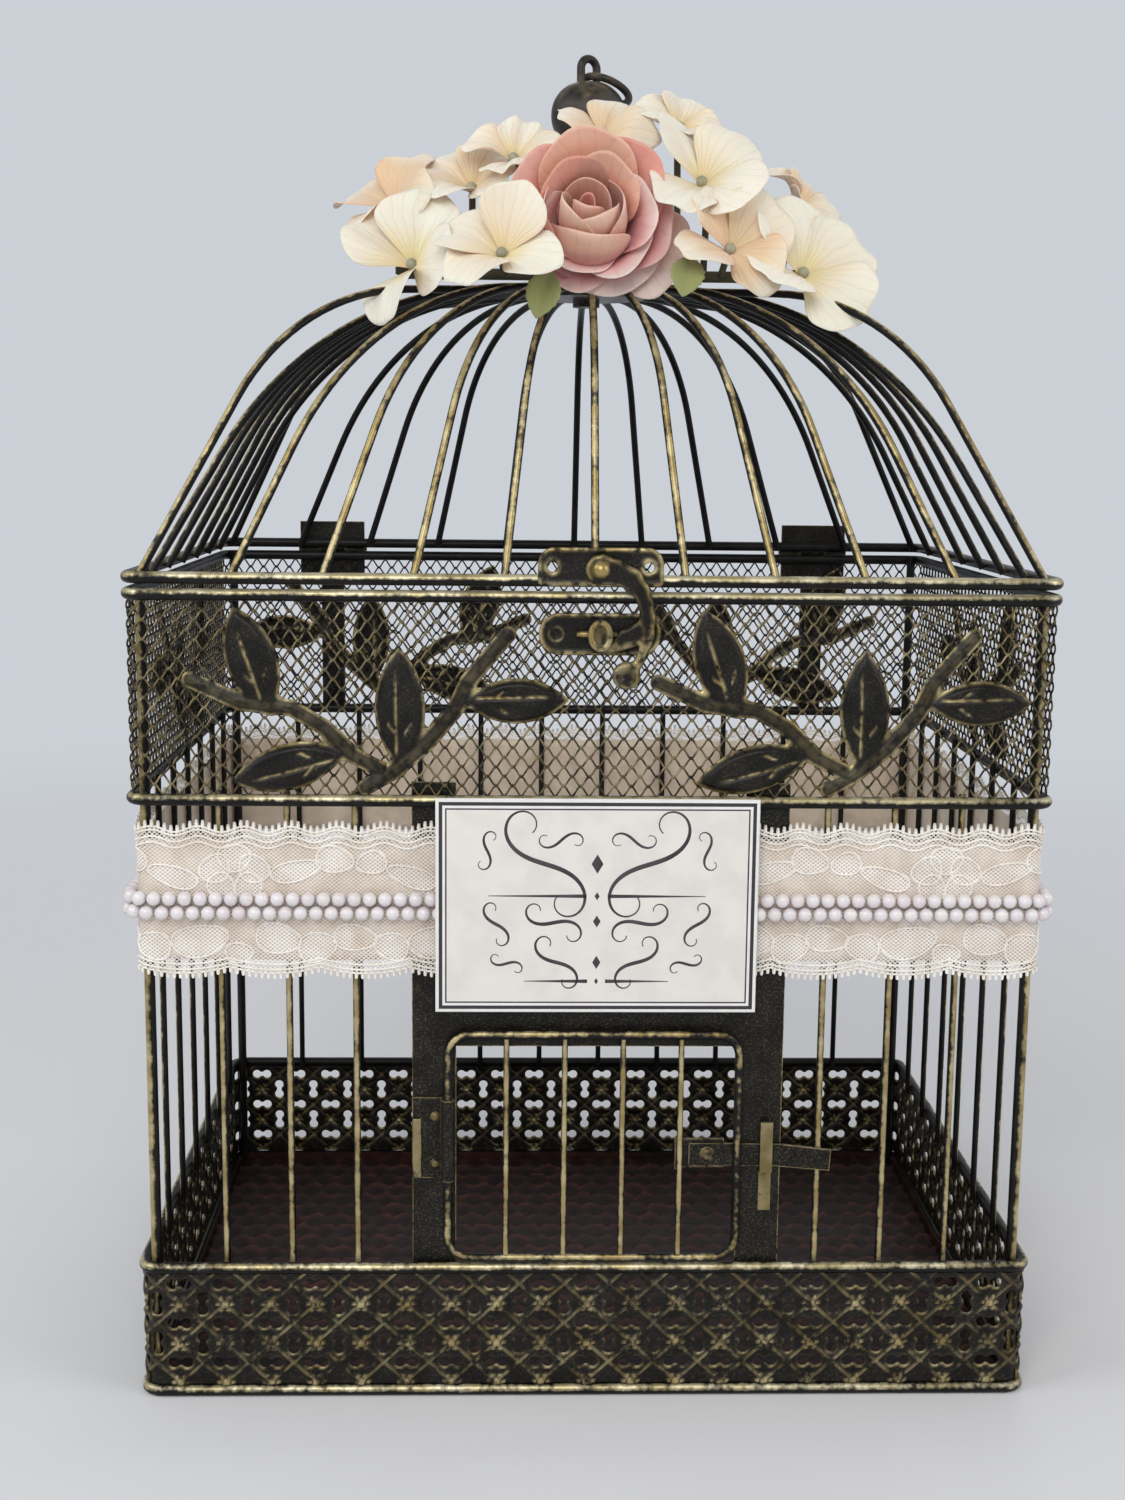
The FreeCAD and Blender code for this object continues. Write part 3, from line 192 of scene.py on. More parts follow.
class MeshDraft:
    """Points, faces and named point values, gathered before one mesh is made of them."""

    def __init__(self, *value_names: str) -> None:
        """Start an empty draft.

        Args:
            value_names: Names of the point values that the finish reads.
        """
        self.points: List[Array] = []
        self.faces: List[List[int]] = []
        self.values: Dict[str, List[Array]] = {name: [] for name in value_names}
        self.count = 0

    def add(self, points: Array, faces: Array, **values: object) -> None:
        """Add points and faces.

        Args:
            points: Points in rows, in millimetres.
            faces: Point numbers of each face, counted from the first of these points.
            values: One value for all points or one for each, by name.
        """
        spots = np.asarray(points, float).reshape(-1, 3)
        self.points.append(spots)
        self.faces.extend((np.asarray(faces, int) + self.count).tolist())
        for name, parts in self.values.items():
            parts.append(spread(values.get(name, 0.0), len(spots)))
        self.count += len(spots)

    def tube(self, path: Array, radius: object, facing: object, sides: int = 8,
             depth: Optional[object] = None, closed: bool = False, by_side: object = 1.0,
             **values: object) -> None:
        """Add a round or oval tube along a path.

        Args:
            path: Points in rows.
            radius: Half width across, one for all points or one for each.
            facing: Direction, or one for each point, that the tube's depth lies along.
            sides: Faces round the tube.
            depth: Half depth along facing, or None for a round tube.
            closed: Whether the path's end joins its start.
            by_side: Share of the point values for each side, or one for all.
            values: Point values, one for all or one for each point of the path.
        """
        spots = np.asarray(path, float)
        count = len(spots)
        along = unit(np.roll(spots, -1, 0) - np.roll(spots, 1, 0) if closed else np.gradient(spots, axis=0))
        across = unit(np.cross(along, np.broadcast_to(np.asarray(facing, float), spots.shape)))
        outward = np.cross(across, along)
        width = spread(radius, count)[:, None, None]
        height = width if depth is None else spread(depth, count)[:, None, None]
        turn = full_turn(sides)[:, None]
        rim = across[:, None] * np.cos(turn) * width + outward[:, None] * np.sin(turn) * height
        shares = spread(by_side, sides)
        shared = {name: np.outer(spread(value, count), shares) for name, value in values.items()}
        faces = grid_faces(count + 1 if closed else count, sides, True) % (count * sides)
        start = self.count
        self.add(spots[:, None] + rim, faces, **shared)
        if not closed:
            self.faces.append([start + i for i in range(sides)])
            self.faces.append([start + (count - 1) * sides + i for i in reversed(range(sides))])

    def ball(self, centre: Array, radii: Triple, rings: int = 10, sides: int = 14, square: float = 1.0,
             **values: object) -> None:
        """Add a ball, an egg shape or a rounded block.

        Args:
            centre: Middle of the ball.
            radii: Half sizes along X, Y and Z.
            rings: Faces from pole to pole.
            sides: Faces round the ball.
            square: 1 for a round shape, less for a squarer one.
            values: Point values, one for all.
        """
        level = np.linspace(0, math.pi, rings + 1)[1:-1, None]
        turn = full_turn(sides)[None, :]
        belt = np.stack([np.sin(level) * np.cos(turn), np.sin(level) * np.sin(turn),
                         np.cos(level) + 0 * turn], -1).reshape(-1, 3)
        belt = np.sign(belt) * np.abs(belt) ** square
        start = self.count
        poles = np.array([(0, 0, radii[2]), (0, 0, -radii[2])])
        self.add(centre + belt * np.asarray(radii, float), grid_faces(rings - 1, sides, True), **values)
        self.add(centre + poles, np.zeros((0, 3)), **values)
        top, last = start + (rings - 1) * sides, start + (rings - 2) * sides
        for i in range(sides):
            self.faces.append([top, start + i, start + (i + 1) % sides][::-1])
            self.faces.append([top + 1, last + i, last + (i + 1) % sides])

    def place(self, name: str, finish: Material, body: str, slot: str, replaced: Sequence[str] = (),
              thickness: float = 0.0, smooth: bool = True) -> Thing:
        """Make the mesh object, set it on its body and hide the nodes that it stands for.

        Args:
            name: Name of the piece.
            finish: Its material.
            body: Body that it moves with.
            slot: Material slot of the record; not used.
            replaced: Nodes that it stands for.
            thickness: Thickness to give a sheet, inward from its face, or 0 for none.
            smooth: Whether its faces shade into each other.

        Returns:
            The new piece, linked to the scene.
        """
        mesh = bpy.data.meshes.new(name)
        mesh.from_pydata((np.concatenate(self.points) * MM).tolist(), [], self.faces)
        for value_name, parts in self.values.items():
            layer = mesh.attributes.new(value_name, "FLOAT", "POINT")
            layer.data.foreach_set("value", np.concatenate(parts).astype(np.float32))
        mesh.polygons.foreach_set("use_smooth", np.full(len(mesh.polygons), smooth))
        mesh.materials.append(finish)
        mesh.update()
        piece = bpy.data.objects.new(name, mesh)
        bpy.context.scene.collection.objects.link(piece)
        if thickness > 0:
            solid = piece.modifiers.new("thickness", "SOLIDIFY")
            solid.thickness = thickness * MM
            solid.offset = -1.0
        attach(piece, body)
        if replaced:
            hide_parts(*replaced)
        LOG.info("%s on %s: %d points", name, body, len(mesh.vertices))
        return piece


def dress_nodes(finish: Material, names: Sequence[str]) -> None:
    """Give carried-over nodes a finish.

    Args:
        finish: The material.
        names: Nodes that get it.
    """
    for name in names:
        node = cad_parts[name]
        node.data.materials.clear()
        node.data.materials.append(finish)
        LOG.info("%s keeps its shape, dressed in %s", name, finish.name)


# The cage's plan


class Wall(Enum):
    """The four walls, by quarter turns from the front."""

    FRONT = 0
    RIGHT = 1
    BACK = 2
    LEFT = 3

    @property
    def word(self) -> str:
        """The wall's name in node names."""
        return self.name.lower()

    @property
    def wide(self) -> bool:
        """Whether it is a long wall."""
        return self in (Wall.FRONT, Wall.BACK)

    @property
    def angle(self) -> float:
        """Turn from the front wall, in radians."""
        return self.value * math.pi / 2


@dataclass(frozen=True)
class CagePlan:
    """Rings of the cage: half sizes to the middle of the wire, corner, wire and heights."""

    half_x: float
    half_y: float
    mid_z: float
    top_z: float
    base_low_z: float
    base_high_z: float
    corner: float = 6.0
    ring_r: float = 2.0

    @classmethod
    def from_frame(cls) -> "CagePlan":
        """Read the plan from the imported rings."""
        def middle_z(node: str) -> float:
            """Middle height of a node."""
            low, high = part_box(node)
            return (low.z + high.z) / 2 / MM

        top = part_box("mid_ring")[1] / MM
        heights = [middle_z(ring) for ring in ("mid_ring", "body_top_ring", "base_bottom_ring", "base_top_ring")]
        return cls(top.x - cls.ring_r, top.y - cls.ring_r, *heights)

    def reach(self, wall: Wall) -> float:
        """Distance of a wall's ring plane from the middle."""
        return self.half_y if wall.wide else self.half_x

    def flat_half(self, wall: Wall) -> float:
        """Half width of a wall's flat stretch."""
        return (self.half_x if wall.wide else self.half_y) - self.corner

    def bent_half(self, wall: Wall) -> float:
        """Half width of a wall, half way round its corners."""
        return self.flat_half(wall) + self.corner * math.pi / 4

    def on_wall(self, wall: Wall, across: object, depth: object, height: object) -> Array:
        """Place points on a wall, bent round its corners where they run past its flat stretch.

        Args:
            wall: The wall.
            across: Measure to the right along the wall, seen from outside.
            depth: Measure outward from the ring plane.
            height: Measure up.

        Returns:
            Points in rows.
        """
        u, out, z = np.broadcast_arrays(*(np.asarray(v, float) for v in (across, depth, height)))
        flat = self.flat_half(wall)
        turn = np.clip(np.abs(u) - flat, 0, None) / self.corner
        radius = self.corner + out
        side = np.clip(u, -flat, flat) + np.sign(u) * radius * np.sin(turn)
        ahead = self.reach(wall) - self.corner + radius * np.cos(turn)
        x = side * math.cos(wall.angle) + ahead * math.sin(wall.angle)
        y = side * math.sin(wall.angle) - ahead * math.cos(wall.angle)
        return np.stack([x, y, z], -1)

    def outward(self, wall: Wall) -> Array:
        """Direction that a wall faces."""
        return np.array([math.sin(wall.angle), -math.cos(wall.angle), 0.0])


@dataclass(frozen=True)
class Loop:
    """Rounded rectangle round the cage, run anticlockwise from the middle of the back."""

    half_x: float
    half_y: float
    corner: float
    arc_steps: int = 12

    def table(self) -> Tuple[Array, Array, Array, Array]:
        """Work out lengths, places and facing angles along the loop.

        Returns:
            Length so far, X, Y and facing angle at each turning point.
        """
        flat_x, flat_y = self.half_x - self.corner, self.half_y - self.corner
        spots: List[Tuple[float, float, float]] = [(0.0, self.half_y, math.pi / 2)]
        for quarter, (sx, sy) in enumerate(((-1, 1), (-1, -1), (1, -1), (1, 1))):
            for step in range(self.arc_steps + 1):
                angle = math.pi / 2 * (quarter + 1 + step / self.arc_steps)
                spots.append((sx * flat_x + self.corner * math.cos(angle),
                              sy * flat_y + self.corner * math.sin(angle), angle))
        spots.append((0.0, self.half_y, math.pi / 2 * 5))
        x, y, angle = (np.array(column) for column in zip(*spots))
        length = np.concatenate([[0.0], np.cumsum(np.hypot(np.diff(x), np.diff(y)))])
        return length, x, y, angle

    @property
    def length(self) -> float:
        """Length once round."""
        return float(self.table()[0][-1])

    def facing_angle(self, along: Array) -> Array:
        """Facing angles at places along the loop."""
        length, _, _, angle = self.table()
        return np.interp(np.mod(along, length[-1]), length, angle)

    def at(self, along: Array, outward: object, height: object) -> Array:
        """Place points along the loop.

        Args:
            along: Measure along the loop.
            outward: Measure out from it.
            height: Measure up.

        Returns:
            Points in rows.
        """
        length, x, y, _ = self.table()
        s, angle = np.mod(along, length[-1]), self.facing_angle(along)
        px = np.interp(s, length, x) + np.cos(angle) * outward
        py = np.interp(s, length, y) + np.sin(angle) * outward
        return np.stack(np.broadcast_arrays(px, py, np.asarray(height, float)), -1)

    def facing(self, along: Array) -> Array:
        """Outward directions at places along the loop."""
        angle = self.facing_angle(along)
        return np.stack([np.cos(angle), np.sin(angle), 0 * angle], -1)


# Node trees


class Signal:
    """A number that runs through a node tree, so that its nodes read as plain sums."""

    def __init__(self, sketch: "Sketch", plug: Plug) -> None:
        """Follow one output of a node in a sketch's tree."""
        self.sketch = sketch
        self.plug = plug

    def math(self, operation: str, *given: Socket) -> "Signal":
        """Work on the number, and others after it, with a Math node."""
        return self.sketch.math(operation, self, *given)

    def __add__(self, other: Socket) -> "Signal":
        """Sum."""
        return self.math("ADD", other)

    def __sub__(self, other: Socket) -> "Signal":
        """Difference."""
        return self.math("SUBTRACT", other)

    def __rsub__(self, other: float) -> "Signal":
        """Difference from a constant."""
        return self.sketch.math("SUBTRACT", other, self)

    def __mul__(self, other: Socket) -> "Signal":
        """Product."""
        return self.math("MULTIPLY", other)

    def __truediv__(self, other: Socket) -> "Signal":
        """Quotient."""
        return self.math("DIVIDE", other)

    def __abs__(self) -> "Signal":
        """Size without sign."""
        return self.math("ABSOLUTE")

    def span(self, low: float, high: float) -> "Signal":
        """Ease from 0 at low to 1 at high."""
        eased = {"interpolation_type": "SMOOTHSTEP"}
        return Signal(self.sketch, self.sketch.node("MapRange", eased, self, low, high).outputs[0])

    def clamped(self) -> "Signal":
        """Keep the number that a Math node gives from 0 to 1."""
        self.plug.node.use_clamp = True
        return self


class Sketch:
    """Short-hand for drawing one shader node tree."""

    def __init__(self, tree: bpy.types.NodeTree) -> None:
        """Draw in the given tree."""
        self.tree = tree

    def feed(self, socket: Plug, value: Socket) -> None:
        """Link a socket to an output, or set its value.

        Args:
            socket: The input.
            value: An output of another node, a number or a colour.
        """
        if isinstance(value, Signal):
            value = value.plug
        if isinstance(value, Plug):
            self.tree.links.new(value, socket)
        elif socket.type == "RGBA":
            socket.default_value = (*value, 1.0)
        else:
            socket.default_value = value

    def fill(self, node: Node, **sockets: Socket) -> None:
        """Feed inputs of a node by name, with _ for a space."""
        for name, value in sockets.items():
            self.feed(node.inputs[name.replace("_", " ")], value)

    def node(self, kind: str, settings: Optional[Dict[str, object]] = None, *given: Socket,
             **sockets: Socket) -> Node:
        """Add a node.

        Args:
            kind: Node type without its first word.
            settings: Properties of the node.
            given: Values or links of its first inputs, in order.
            sockets: Values or links of its inputs, by name with _ for a space.

        Returns:
            The node.
        """
        made = self.tree.nodes.new("ShaderNode" + kind)
        for name, value in (settings or {}).items():
            setattr(made, name, value)
        for socket, value in zip(made.inputs, given):
            self.feed(socket, value)
        self.fill(made, **sockets)
        return made

    def math(self, operation: str, *given: Socket) -> Signal:
        """Work on numbers."""
        return Signal(self, self.node("Math", {"operation": operation}, *given).outputs[0])

    def measure(self, operation: str, *given: Socket) -> Signal:
        """Work on vectors, with a number as the result."""
        return Signal(self, self.node("VectorMath", {"operation": operation}, *given).outputs["Value"])

    def mix(self, share: Socket, first: Socket, second: Socket) -> Plug:
        """Mix two colours by a share."""
        made = self.node("Mix", {"data_type": "RGBA"})
        for place, value in ((0, share), (6, first), (7, second)):
            self.feed(made.inputs[place], value)
        return made.outputs[2]

    def noise(self, scale: Socket, detail: float = 3.0) -> Signal:
        """Cloudy noise over the object, with scale in waves for each metre."""
        return Signal(self, self.node("TexNoise", Vector=self.spot(), Scale=scale, Detail=detail).outputs[0])

    def value(self, name: str) -> Signal:
        """A named point value of the mesh."""
        return Signal(self, self.node("Attribute", {"attribute_name": name}).outputs["Fac"])

    def spot(self, output: str = "Object") -> Plug:
        """The place or the facing of the surface in the object's own frame."""
        return self.node("TexCoord").outputs[output]

    def parts(self, vector: Plug) -> List[Signal]:
        """X, Y and Z of a vector."""
        return [Signal(self, plug) for plug in self.node("SeparateXYZ", Vector=vector).outputs]


class Effect(Enum):
    """Effects that several finishes share."""

    OUTWARD_RUB = "outward_rub"
    EDGE_WEAR = "edge_wear"
    PAINT_GRAIN = "paint_grain"
    THREAD_WEAVE = "thread_weave"
    PETAL_VEINS = "petal_veins"


class SharedEffects:
    """Shader node groups, each built once and placed in the finishes that use it."""

    def __init__(self, plan: CagePlan) -> None:
        """Build every group.

        Args:
            plan: The cage's plan, which says which way is outward.
        """
        self.plan = plan
        self.groups: Dict[Effect, bpy.types.NodeTree] = {}
        for build in (self.outward_rub, self.edge_wear, self.paint_grain, self.thread_weave, self.petal_veins):
            build()

    def start(self, effect: Effect, inputs: Dict[str, float],
              outputs: Sequence[str]) -> Tuple[Sketch, Dict[str, Signal], Node]:
        """Begin a group with its named sockets.

        Args:
            effect: Which effect it is.
            inputs: Names and usual values of the inputs.
            outputs: Names of the outputs.

        Returns:
            A sketch of the group, its inputs by name and its output node.
        """
        tree = bpy.data.node_groups.new(effect.value, "ShaderNodeTree")
        for name, usual in inputs.items():
            socket = tree.interface.new_socket(name=name, in_out="INPUT", socket_type="NodeSocketFloat")
            socket.default_value = usual
        for name in outputs:
            tree.interface.new_socket(name=name, in_out="OUTPUT", socket_type="NodeSocketFloat")
        self.groups[effect] = tree
        sketch, source = Sketch(tree), tree.nodes.new("NodeGroupInput")
        given = {name: Signal(sketch, source.outputs[name]) for name in inputs}
        return sketch, given, tree.nodes.new("NodeGroupOutput")

    def place(self, sketch: Sketch, effect: Effect, **values: Socket) -> Dict[str, Signal]:
        """Place a group in a finish.

        Args:
            sketch: The finish's node tree.
            effect: Which group.
            values: Its inputs, by name.

        Returns:
            Its outputs, by name.
        """
        made = sketch.tree.nodes.new("ShaderNodeGroup")
        made.node_tree = self.groups[effect]
        sketch.fill(made, **values)
        return {plug.name: Signal(sketch, plug) for plug in made.outputs}

    def outward_rub(self) -> None:
        """Gold dry-brushed on the side of each wire that looks out of the cage, plus painted highlight gold on
        up-facing sides as far as the lift input says.
        """
        chosen = {"Amount": 0.9, "Patches": 0.6, "Lift": 0.0, "Start": 0.42}
        sketch, given, result = self.start(Effect.OUTWARD_RUB, chosen, ["Mask"])
        middle_z, half_z, sharpness = 0.14, 0.25, 4.0
        cloud_share, streak_share = 2.4, 0.55
        x, y, z = sketch.parts(sketch.spot())
        shares = (x / (self.plan.half_x * MM), y / (self.plan.half_y * MM), (z - middle_z) / half_z)
        strong = [share.math("SIGN") * abs(share).math("POWER", sharpness) for share in shares]
        combined = sketch.node("CombineXYZ", None, *strong).outputs[0]
        outward = sketch.node("VectorMath", {"operation": "NORMALIZE"}, combined).outputs[0]
        facing = sketch.measure("DOT_PRODUCT", outward, sketch.spot("Normal"))
        # Up-facing sides gain gold by the lift input: a painted highlight for light from above.
        facing_and_highlight = facing + sketch.parts(sketch.spot("Normal"))[2] * given["Lift"]
        clouds = (sketch.noise(130.0, 5.0) - 0.5) * given["Patches"]
        streaks = sketch.noise(520.0, 2.0) - 0.5
        gold_and_highlight = (facing_and_highlight + clouds * cloud_share + streaks * streak_share - given["Start"]).span(0.0, 0.5)
        sketch.fill(result, Mask=(gold_and_highlight * given["Amount"]).clamped())

    def edge_wear(self) -> None:
        """Paint worn through along sharp edges."""
        sketch, given, result = self.start(Effect.EDGE_WEAR, {"Amount": 0.9, "Width": 0.0006}, ["Mask"])
        soft = sketch.node("Bevel", {"samples": 4}, Radius=given["Width"]).outputs[0]
        turn = 1.0 - sketch.measure("DOT_PRODUCT", soft, sketch.node("NewGeometry").outputs["Normal"])
        patchy = turn * sketch.noise(260.0).span(0.3, 0.6)
        sketch.fill(result, Mask=(patchy.span(0.02, 0.16) * given["Amount"]).clamped())

    def paint_grain(self) -> None:
        """Uneven paint: a fine height and a slow shade."""
        sketch, given, result = self.start(Effect.PAINT_GRAIN, {"Scale": 900.0}, ["Height", "Shade"])
        slow = sketch.noise(110.0, 4.0)
        sketch.fill(result, Height=sketch.noise(given["Scale"]) + slow, Shade=slow.span(0.35, 0.68))

    def thread_weave(self) -> None:
        """Threads over and under, slanted by Skew, on a mesh with u_mm and z_mm values."""
        chosen = {"Across": 0.5, "Up": 0.5, "Skew": 0.0}
        sketch, given, result = self.start(Effect.THREAD_WEAVE, chosen, ["Height", "Gaps"])
        across = sketch.value("u_mm") / given["Across"]
        up = sketch.value("z_mm") / given["Up"]
        slanted = (across + up * given["Skew"], up - across * given["Skew"])
        first, second = ((turns * (2 * math.pi)).math("SINE") for turns in slanted)
        least = abs(first).math("MINIMUM", abs(second))
        sketch.fill(result, Height=first * second * 0.5 + 0.5, Gaps=least.span(0.25, 0.6))

    def petal_veins(self) -> None:
        """Pressed veins that fan out from a petal's foot, on a mesh with along and across values."""
        sketch, given, result = self.start(Effect.PETAL_VEINS, {"Count": 5.0}, ["Veins", "Mottle"])
        fan = sketch.value("across") / (sketch.value("along") + 0.55)
        turns = fan * given["Count"] + sketch.noise(160.0) * 0.9
        wave = abs((turns * math.pi).math("SINE"))
        sketch.fill(result, Veins=wave.span(0.0, 0.45), Mottle=sketch.noise(90.0, 4.0))


# Finishes


def start_material(name: str, **constants: Socket) -> Tuple[Material, Sketch, Node]:
    """Begin a material.

    Args:
        name: Its name.
        constants: Shader values that are the same all over, by socket name with _ for a space.

    Returns:
        The material, a sketch of its nodes and its shader.
    """
    made = bpy.data.materials.new(name)
    made.use_nodes = True
    sketch = Sketch(made.node_tree)
    shader = made.node_tree.nodes["Principled BSDF"]
    sketch.fill(shader, **constants)
    return made, sketch, shader


def add_bump(sketch: Sketch, shader: Node, height: Socket, depth_mm: float, strength: float = 1.0) -> None:
    """Feed a share of a height, of the given real depth, to a shader's normal."""
    bump = sketch.node("Bump", Strength=strength, Distance=depth_mm * MM, Height=height)
    sketch.fill(shader, Normal=bump.outputs[0])


@dataclass(frozen=True)
class BronzeFinish:
    """Black-bronze paint dry-brushed with antique gold, and painted highlight gold on up-facing sides where lift
    is set.
    """

    name: str
    facing: float
    patches: float = 0.6
    edge: float = 0.0
    stamped: float = 0.0
    # Gold added on up-facing sides: a painted highlight for light from above.
    lift: float = 0.0
    start: float = 0.42
    dust: float = 0.0
    paint: Colour = (0.0035, 0.0032, 0.0030)
    paint_light: Colour = (0.010, 0.009, 0.008)
    gold: Colour = (0.40, 0.30, 0.12)
    gold_pale: Colour = (0.68, 0.57, 0.31)

    def material(self, effects: SharedEffects) -> Material:
        """Build the material."""
        made, sketch, shader = start_material(self.name, Specular_IOR_Level=0.22)
        rub = effects.place(sketch, Effect.OUTWARD_RUB, Amount=self.facing, Patches=self.patches, Lift=self.lift,
                            Start=self.start)["Mask"]
        if self.stamped > 0:
            spotty, cloudy = (sketch.noise(scale).span(0.32, 0.62) for scale in (330.0, 60.0))
            raised = sketch.value("rub") * self.stamped * (spotty * (cloudy * 0.45 + 0.55))
            rub = rub.math("MAXIMUM", raised.clamped())
        if self.edge > 0:
            rub = rub.math("MAXIMUM", effects.place(sketch, Effect.EDGE_WEAR, Amount=self.edge)["Mask"])
        if self.dust > 0:
            rub = rub.math("MAXIMUM", sketch.noise(1500.0).span(0.48, 0.75) * self.dust)
        grain = effects.place(sketch, Effect.PAINT_GRAIN)
        paint = sketch.mix(grain["Shade"], self.paint, self.paint_light)
        metal = sketch.mix(grain["Shade"], self.gold, self.gold_pale)
        sketch.fill(shader, Base_Color=sketch.mix(rub, paint, metal), Metallic=rub * 0.75,
                    Roughness=grain["Height"] * 0.18 + 0.20)
        add_bump(sketch, shader, grain["Height"], 0.05, 0.7)
        return made


@dataclass(frozen=True)
class FloorFinish:
    """Dark brown paint over a pressed scale pattern."""

    name: str = "brown_floor_paint"
    low: Colour = (0.010, 0.004, 0.004)
    high: Colour = (0.080, 0.028, 0.020)

    def material(self, effects: SharedEffects) -> Material:
        """Build the material."""
        made, sketch, shader = start_material(self.name, Specular_IOR_Level=0.2)
        grain = effects.place(sketch, Effect.PAINT_GRAIN, Scale=500.0)
        worn = (sketch.value("rub") * (grain["Shade"] + 0.35)).clamped()
        sketch.fill(shader, Base_Color=sketch.mix(worn, self.low, self.high),
                    Roughness=grain["Height"] * 0.2 + 0.4)
        add_bump(sketch, shader, grain["Height"], 0.08)
        return made


@dataclass(frozen=True)
class RibbonFinish:
    """Cream ribbon with a fine weave."""

    name: str = "cream_ribbon"
    dark: Colour = (0.62, 0.49, 0.37)
    light: Colour = (0.78, 0.65, 0.51)

    def material(self, effects: SharedEffects) -> Material:
        """Build the material."""
        made, sketch, shader = start_material(self.name, Sheen_Weight=0.25, Sheen_Roughness=0.4)
        weave = effects.place(sketch, Effect.THREAD_WEAVE, Across=0.7, Up=0.7)["Height"]
        shade = effects.place(sketch, Effect.PAINT_GRAIN, Scale=160.0)["Shade"]
        tone = (weave * 0.5 + shade).clamped()
        sketch.fill(shader, Base_Color=sketch.mix(tone, self.dark, self.light), Roughness=weave * 0.12 + 0.5)
        add_bump(sketch, shader, weave, 0.12, 0.6)
        return made


@dataclass(frozen=True)
class LaceFinish:
    """Ivory lace: see-through net, closed where the motifs are."""

    name: str
    net: bool
    thread: Colour = (0.95, 0.91, 0.85)
    thread_shade: Colour = (0.84, 0.77, 0.68)

    def material(self, effects: SharedEffects) -> Material:
        """Build the material."""
        made, sketch, shader = start_material(self.name, Roughness=0.75, Sheen_Weight=0.3)
        weave = effects.place(sketch, Effect.THREAD_WEAVE, Across=3.2, Up=2.6, Skew=1.0)
        shade = effects.place(sketch, Effect.PAINT_GRAIN, Scale=700.0)["Shade"]
        tone = (weave["Height"] * 0.3 + shade).clamped()
        sketch.fill(shader, Base_Color=sketch.mix(tone, self.thread_shade, self.thread))
        if self.net:
            closed = sketch.value("motif") * 0.40 + 0.04
            sketch.fill(shader, Alpha=(1.0 - weave["Gaps"] + closed).clamped())
        add_bump(sketch, shader, weave["Height"], 0.1, 0.5)
        return made


@dataclass(frozen=True)
class PearlFinish:
    """Pearl lustre over a white bead, turning warm pinkish grey at the rims: partly lustre, partly painted shade.
    """

    name: str = "pearl_lustre"
    rim_lustre_and_shade: Colour = (0.66, 0.57, 0.58)
    cool: Colour = (0.82, 0.79, 0.80)

    def material(self, effects: SharedEffects) -> Material:
        """Build the material."""
        made, sketch, shader = start_material(self.name, Coat_Weight=0.6, Coat_Roughness=0.12,
                                              Subsurface_Weight=0.15, Subsurface_Scale=0.001)
        grain = effects.place(sketch, Effect.PAINT_GRAIN, Scale=1500.0)
        # Towards the rims the colour turns to the warm pinkish grey: partly pearl lustre, partly painted shade.
        rim = Signal(sketch, sketch.node("LayerWeight", Blend=0.4).outputs["Facing"])
        tone = rim * 0.6 + grain["Shade"] * 0.4
        sketch.fill(shader, Base_Color=sketch.mix(tone, self.cool, self.rim_lustre_and_shade), Roughness=grain["Height"] * 0.28)
        return made


@dataclass(frozen=True)
class CardFinish:
    """White card stock printed with a double frame round a cream panel."""

    name: str
    box: Tuple[Triple, Triple] = ((0.0, 0.0, 0.0), (0.0, 0.0, 0.0))
    white: Colour = (0.84, 0.83, 0.81)
    cream: Colour = (0.80, 0.77, 0.72)
    ink: Colour = (0.030, 0.028, 0.032)
    outer_line: Flat = (1.1, 2.3)
    inner_line: Flat = (3.2, 3.7)

    def material(self, effects: SharedEffects) -> Material:
        """Build the material."""
        made, sketch, shader = start_material(self.name)
        parts = sketch.parts(sketch.spot())
        low, high = self.box
        inset: Socket = 1.0
        for axis in (0, 2):
            for side in (parts[axis] - low[axis] * MM, high[axis] * MM - parts[axis]):
                inset = side.math("MINIMUM", inset)
        grain = effects.place(sketch, Effect.PAINT_GRAIN, Scale=1400.0)
        paper = sketch.mix(inset.math("GREATER_THAN", self.inner_line[1] * MM), self.white, self.cream)
        for start, end in (self.outer_line, self.inner_line):
            inside = inset.math("GREATER_THAN", start * MM) * inset.math("LESS_THAN", end * MM)
            paper = sketch.mix(inside, paper, self.ink)
        sketch.fill(shader, Base_Color=sketch.mix(grain["Shade"] * 0.08, paper, self.ink),
                    Roughness=grain["Height"] * 0.15 + 0.5)
        add_bump(sketch, shader, grain["Height"], 0.03, 0.5)
        return made


@dataclass(frozen=True)
class GrainFinish:
    """Plain matt stuff with a little grain: ink, foam, bead centres and stems."""

    name: str
    dark: Colour
    light: Colour
    roughness: float = 0.6
    scale: float = 900.0

    def material(self, effects: SharedEffects) -> Material:
        """Build the material."""
        made, sketch, shader = start_material(self.name, Roughness=self.roughness)
        grain = effects.place(sketch, Effect.PAINT_GRAIN, Scale=self.scale)
        sketch.fill(shader, Base_Color=sketch.mix(grain["Shade"], self.dark, self.light))
        add_bump(sketch, shader, grain["Height"], 0.08, 0.7)
        return made


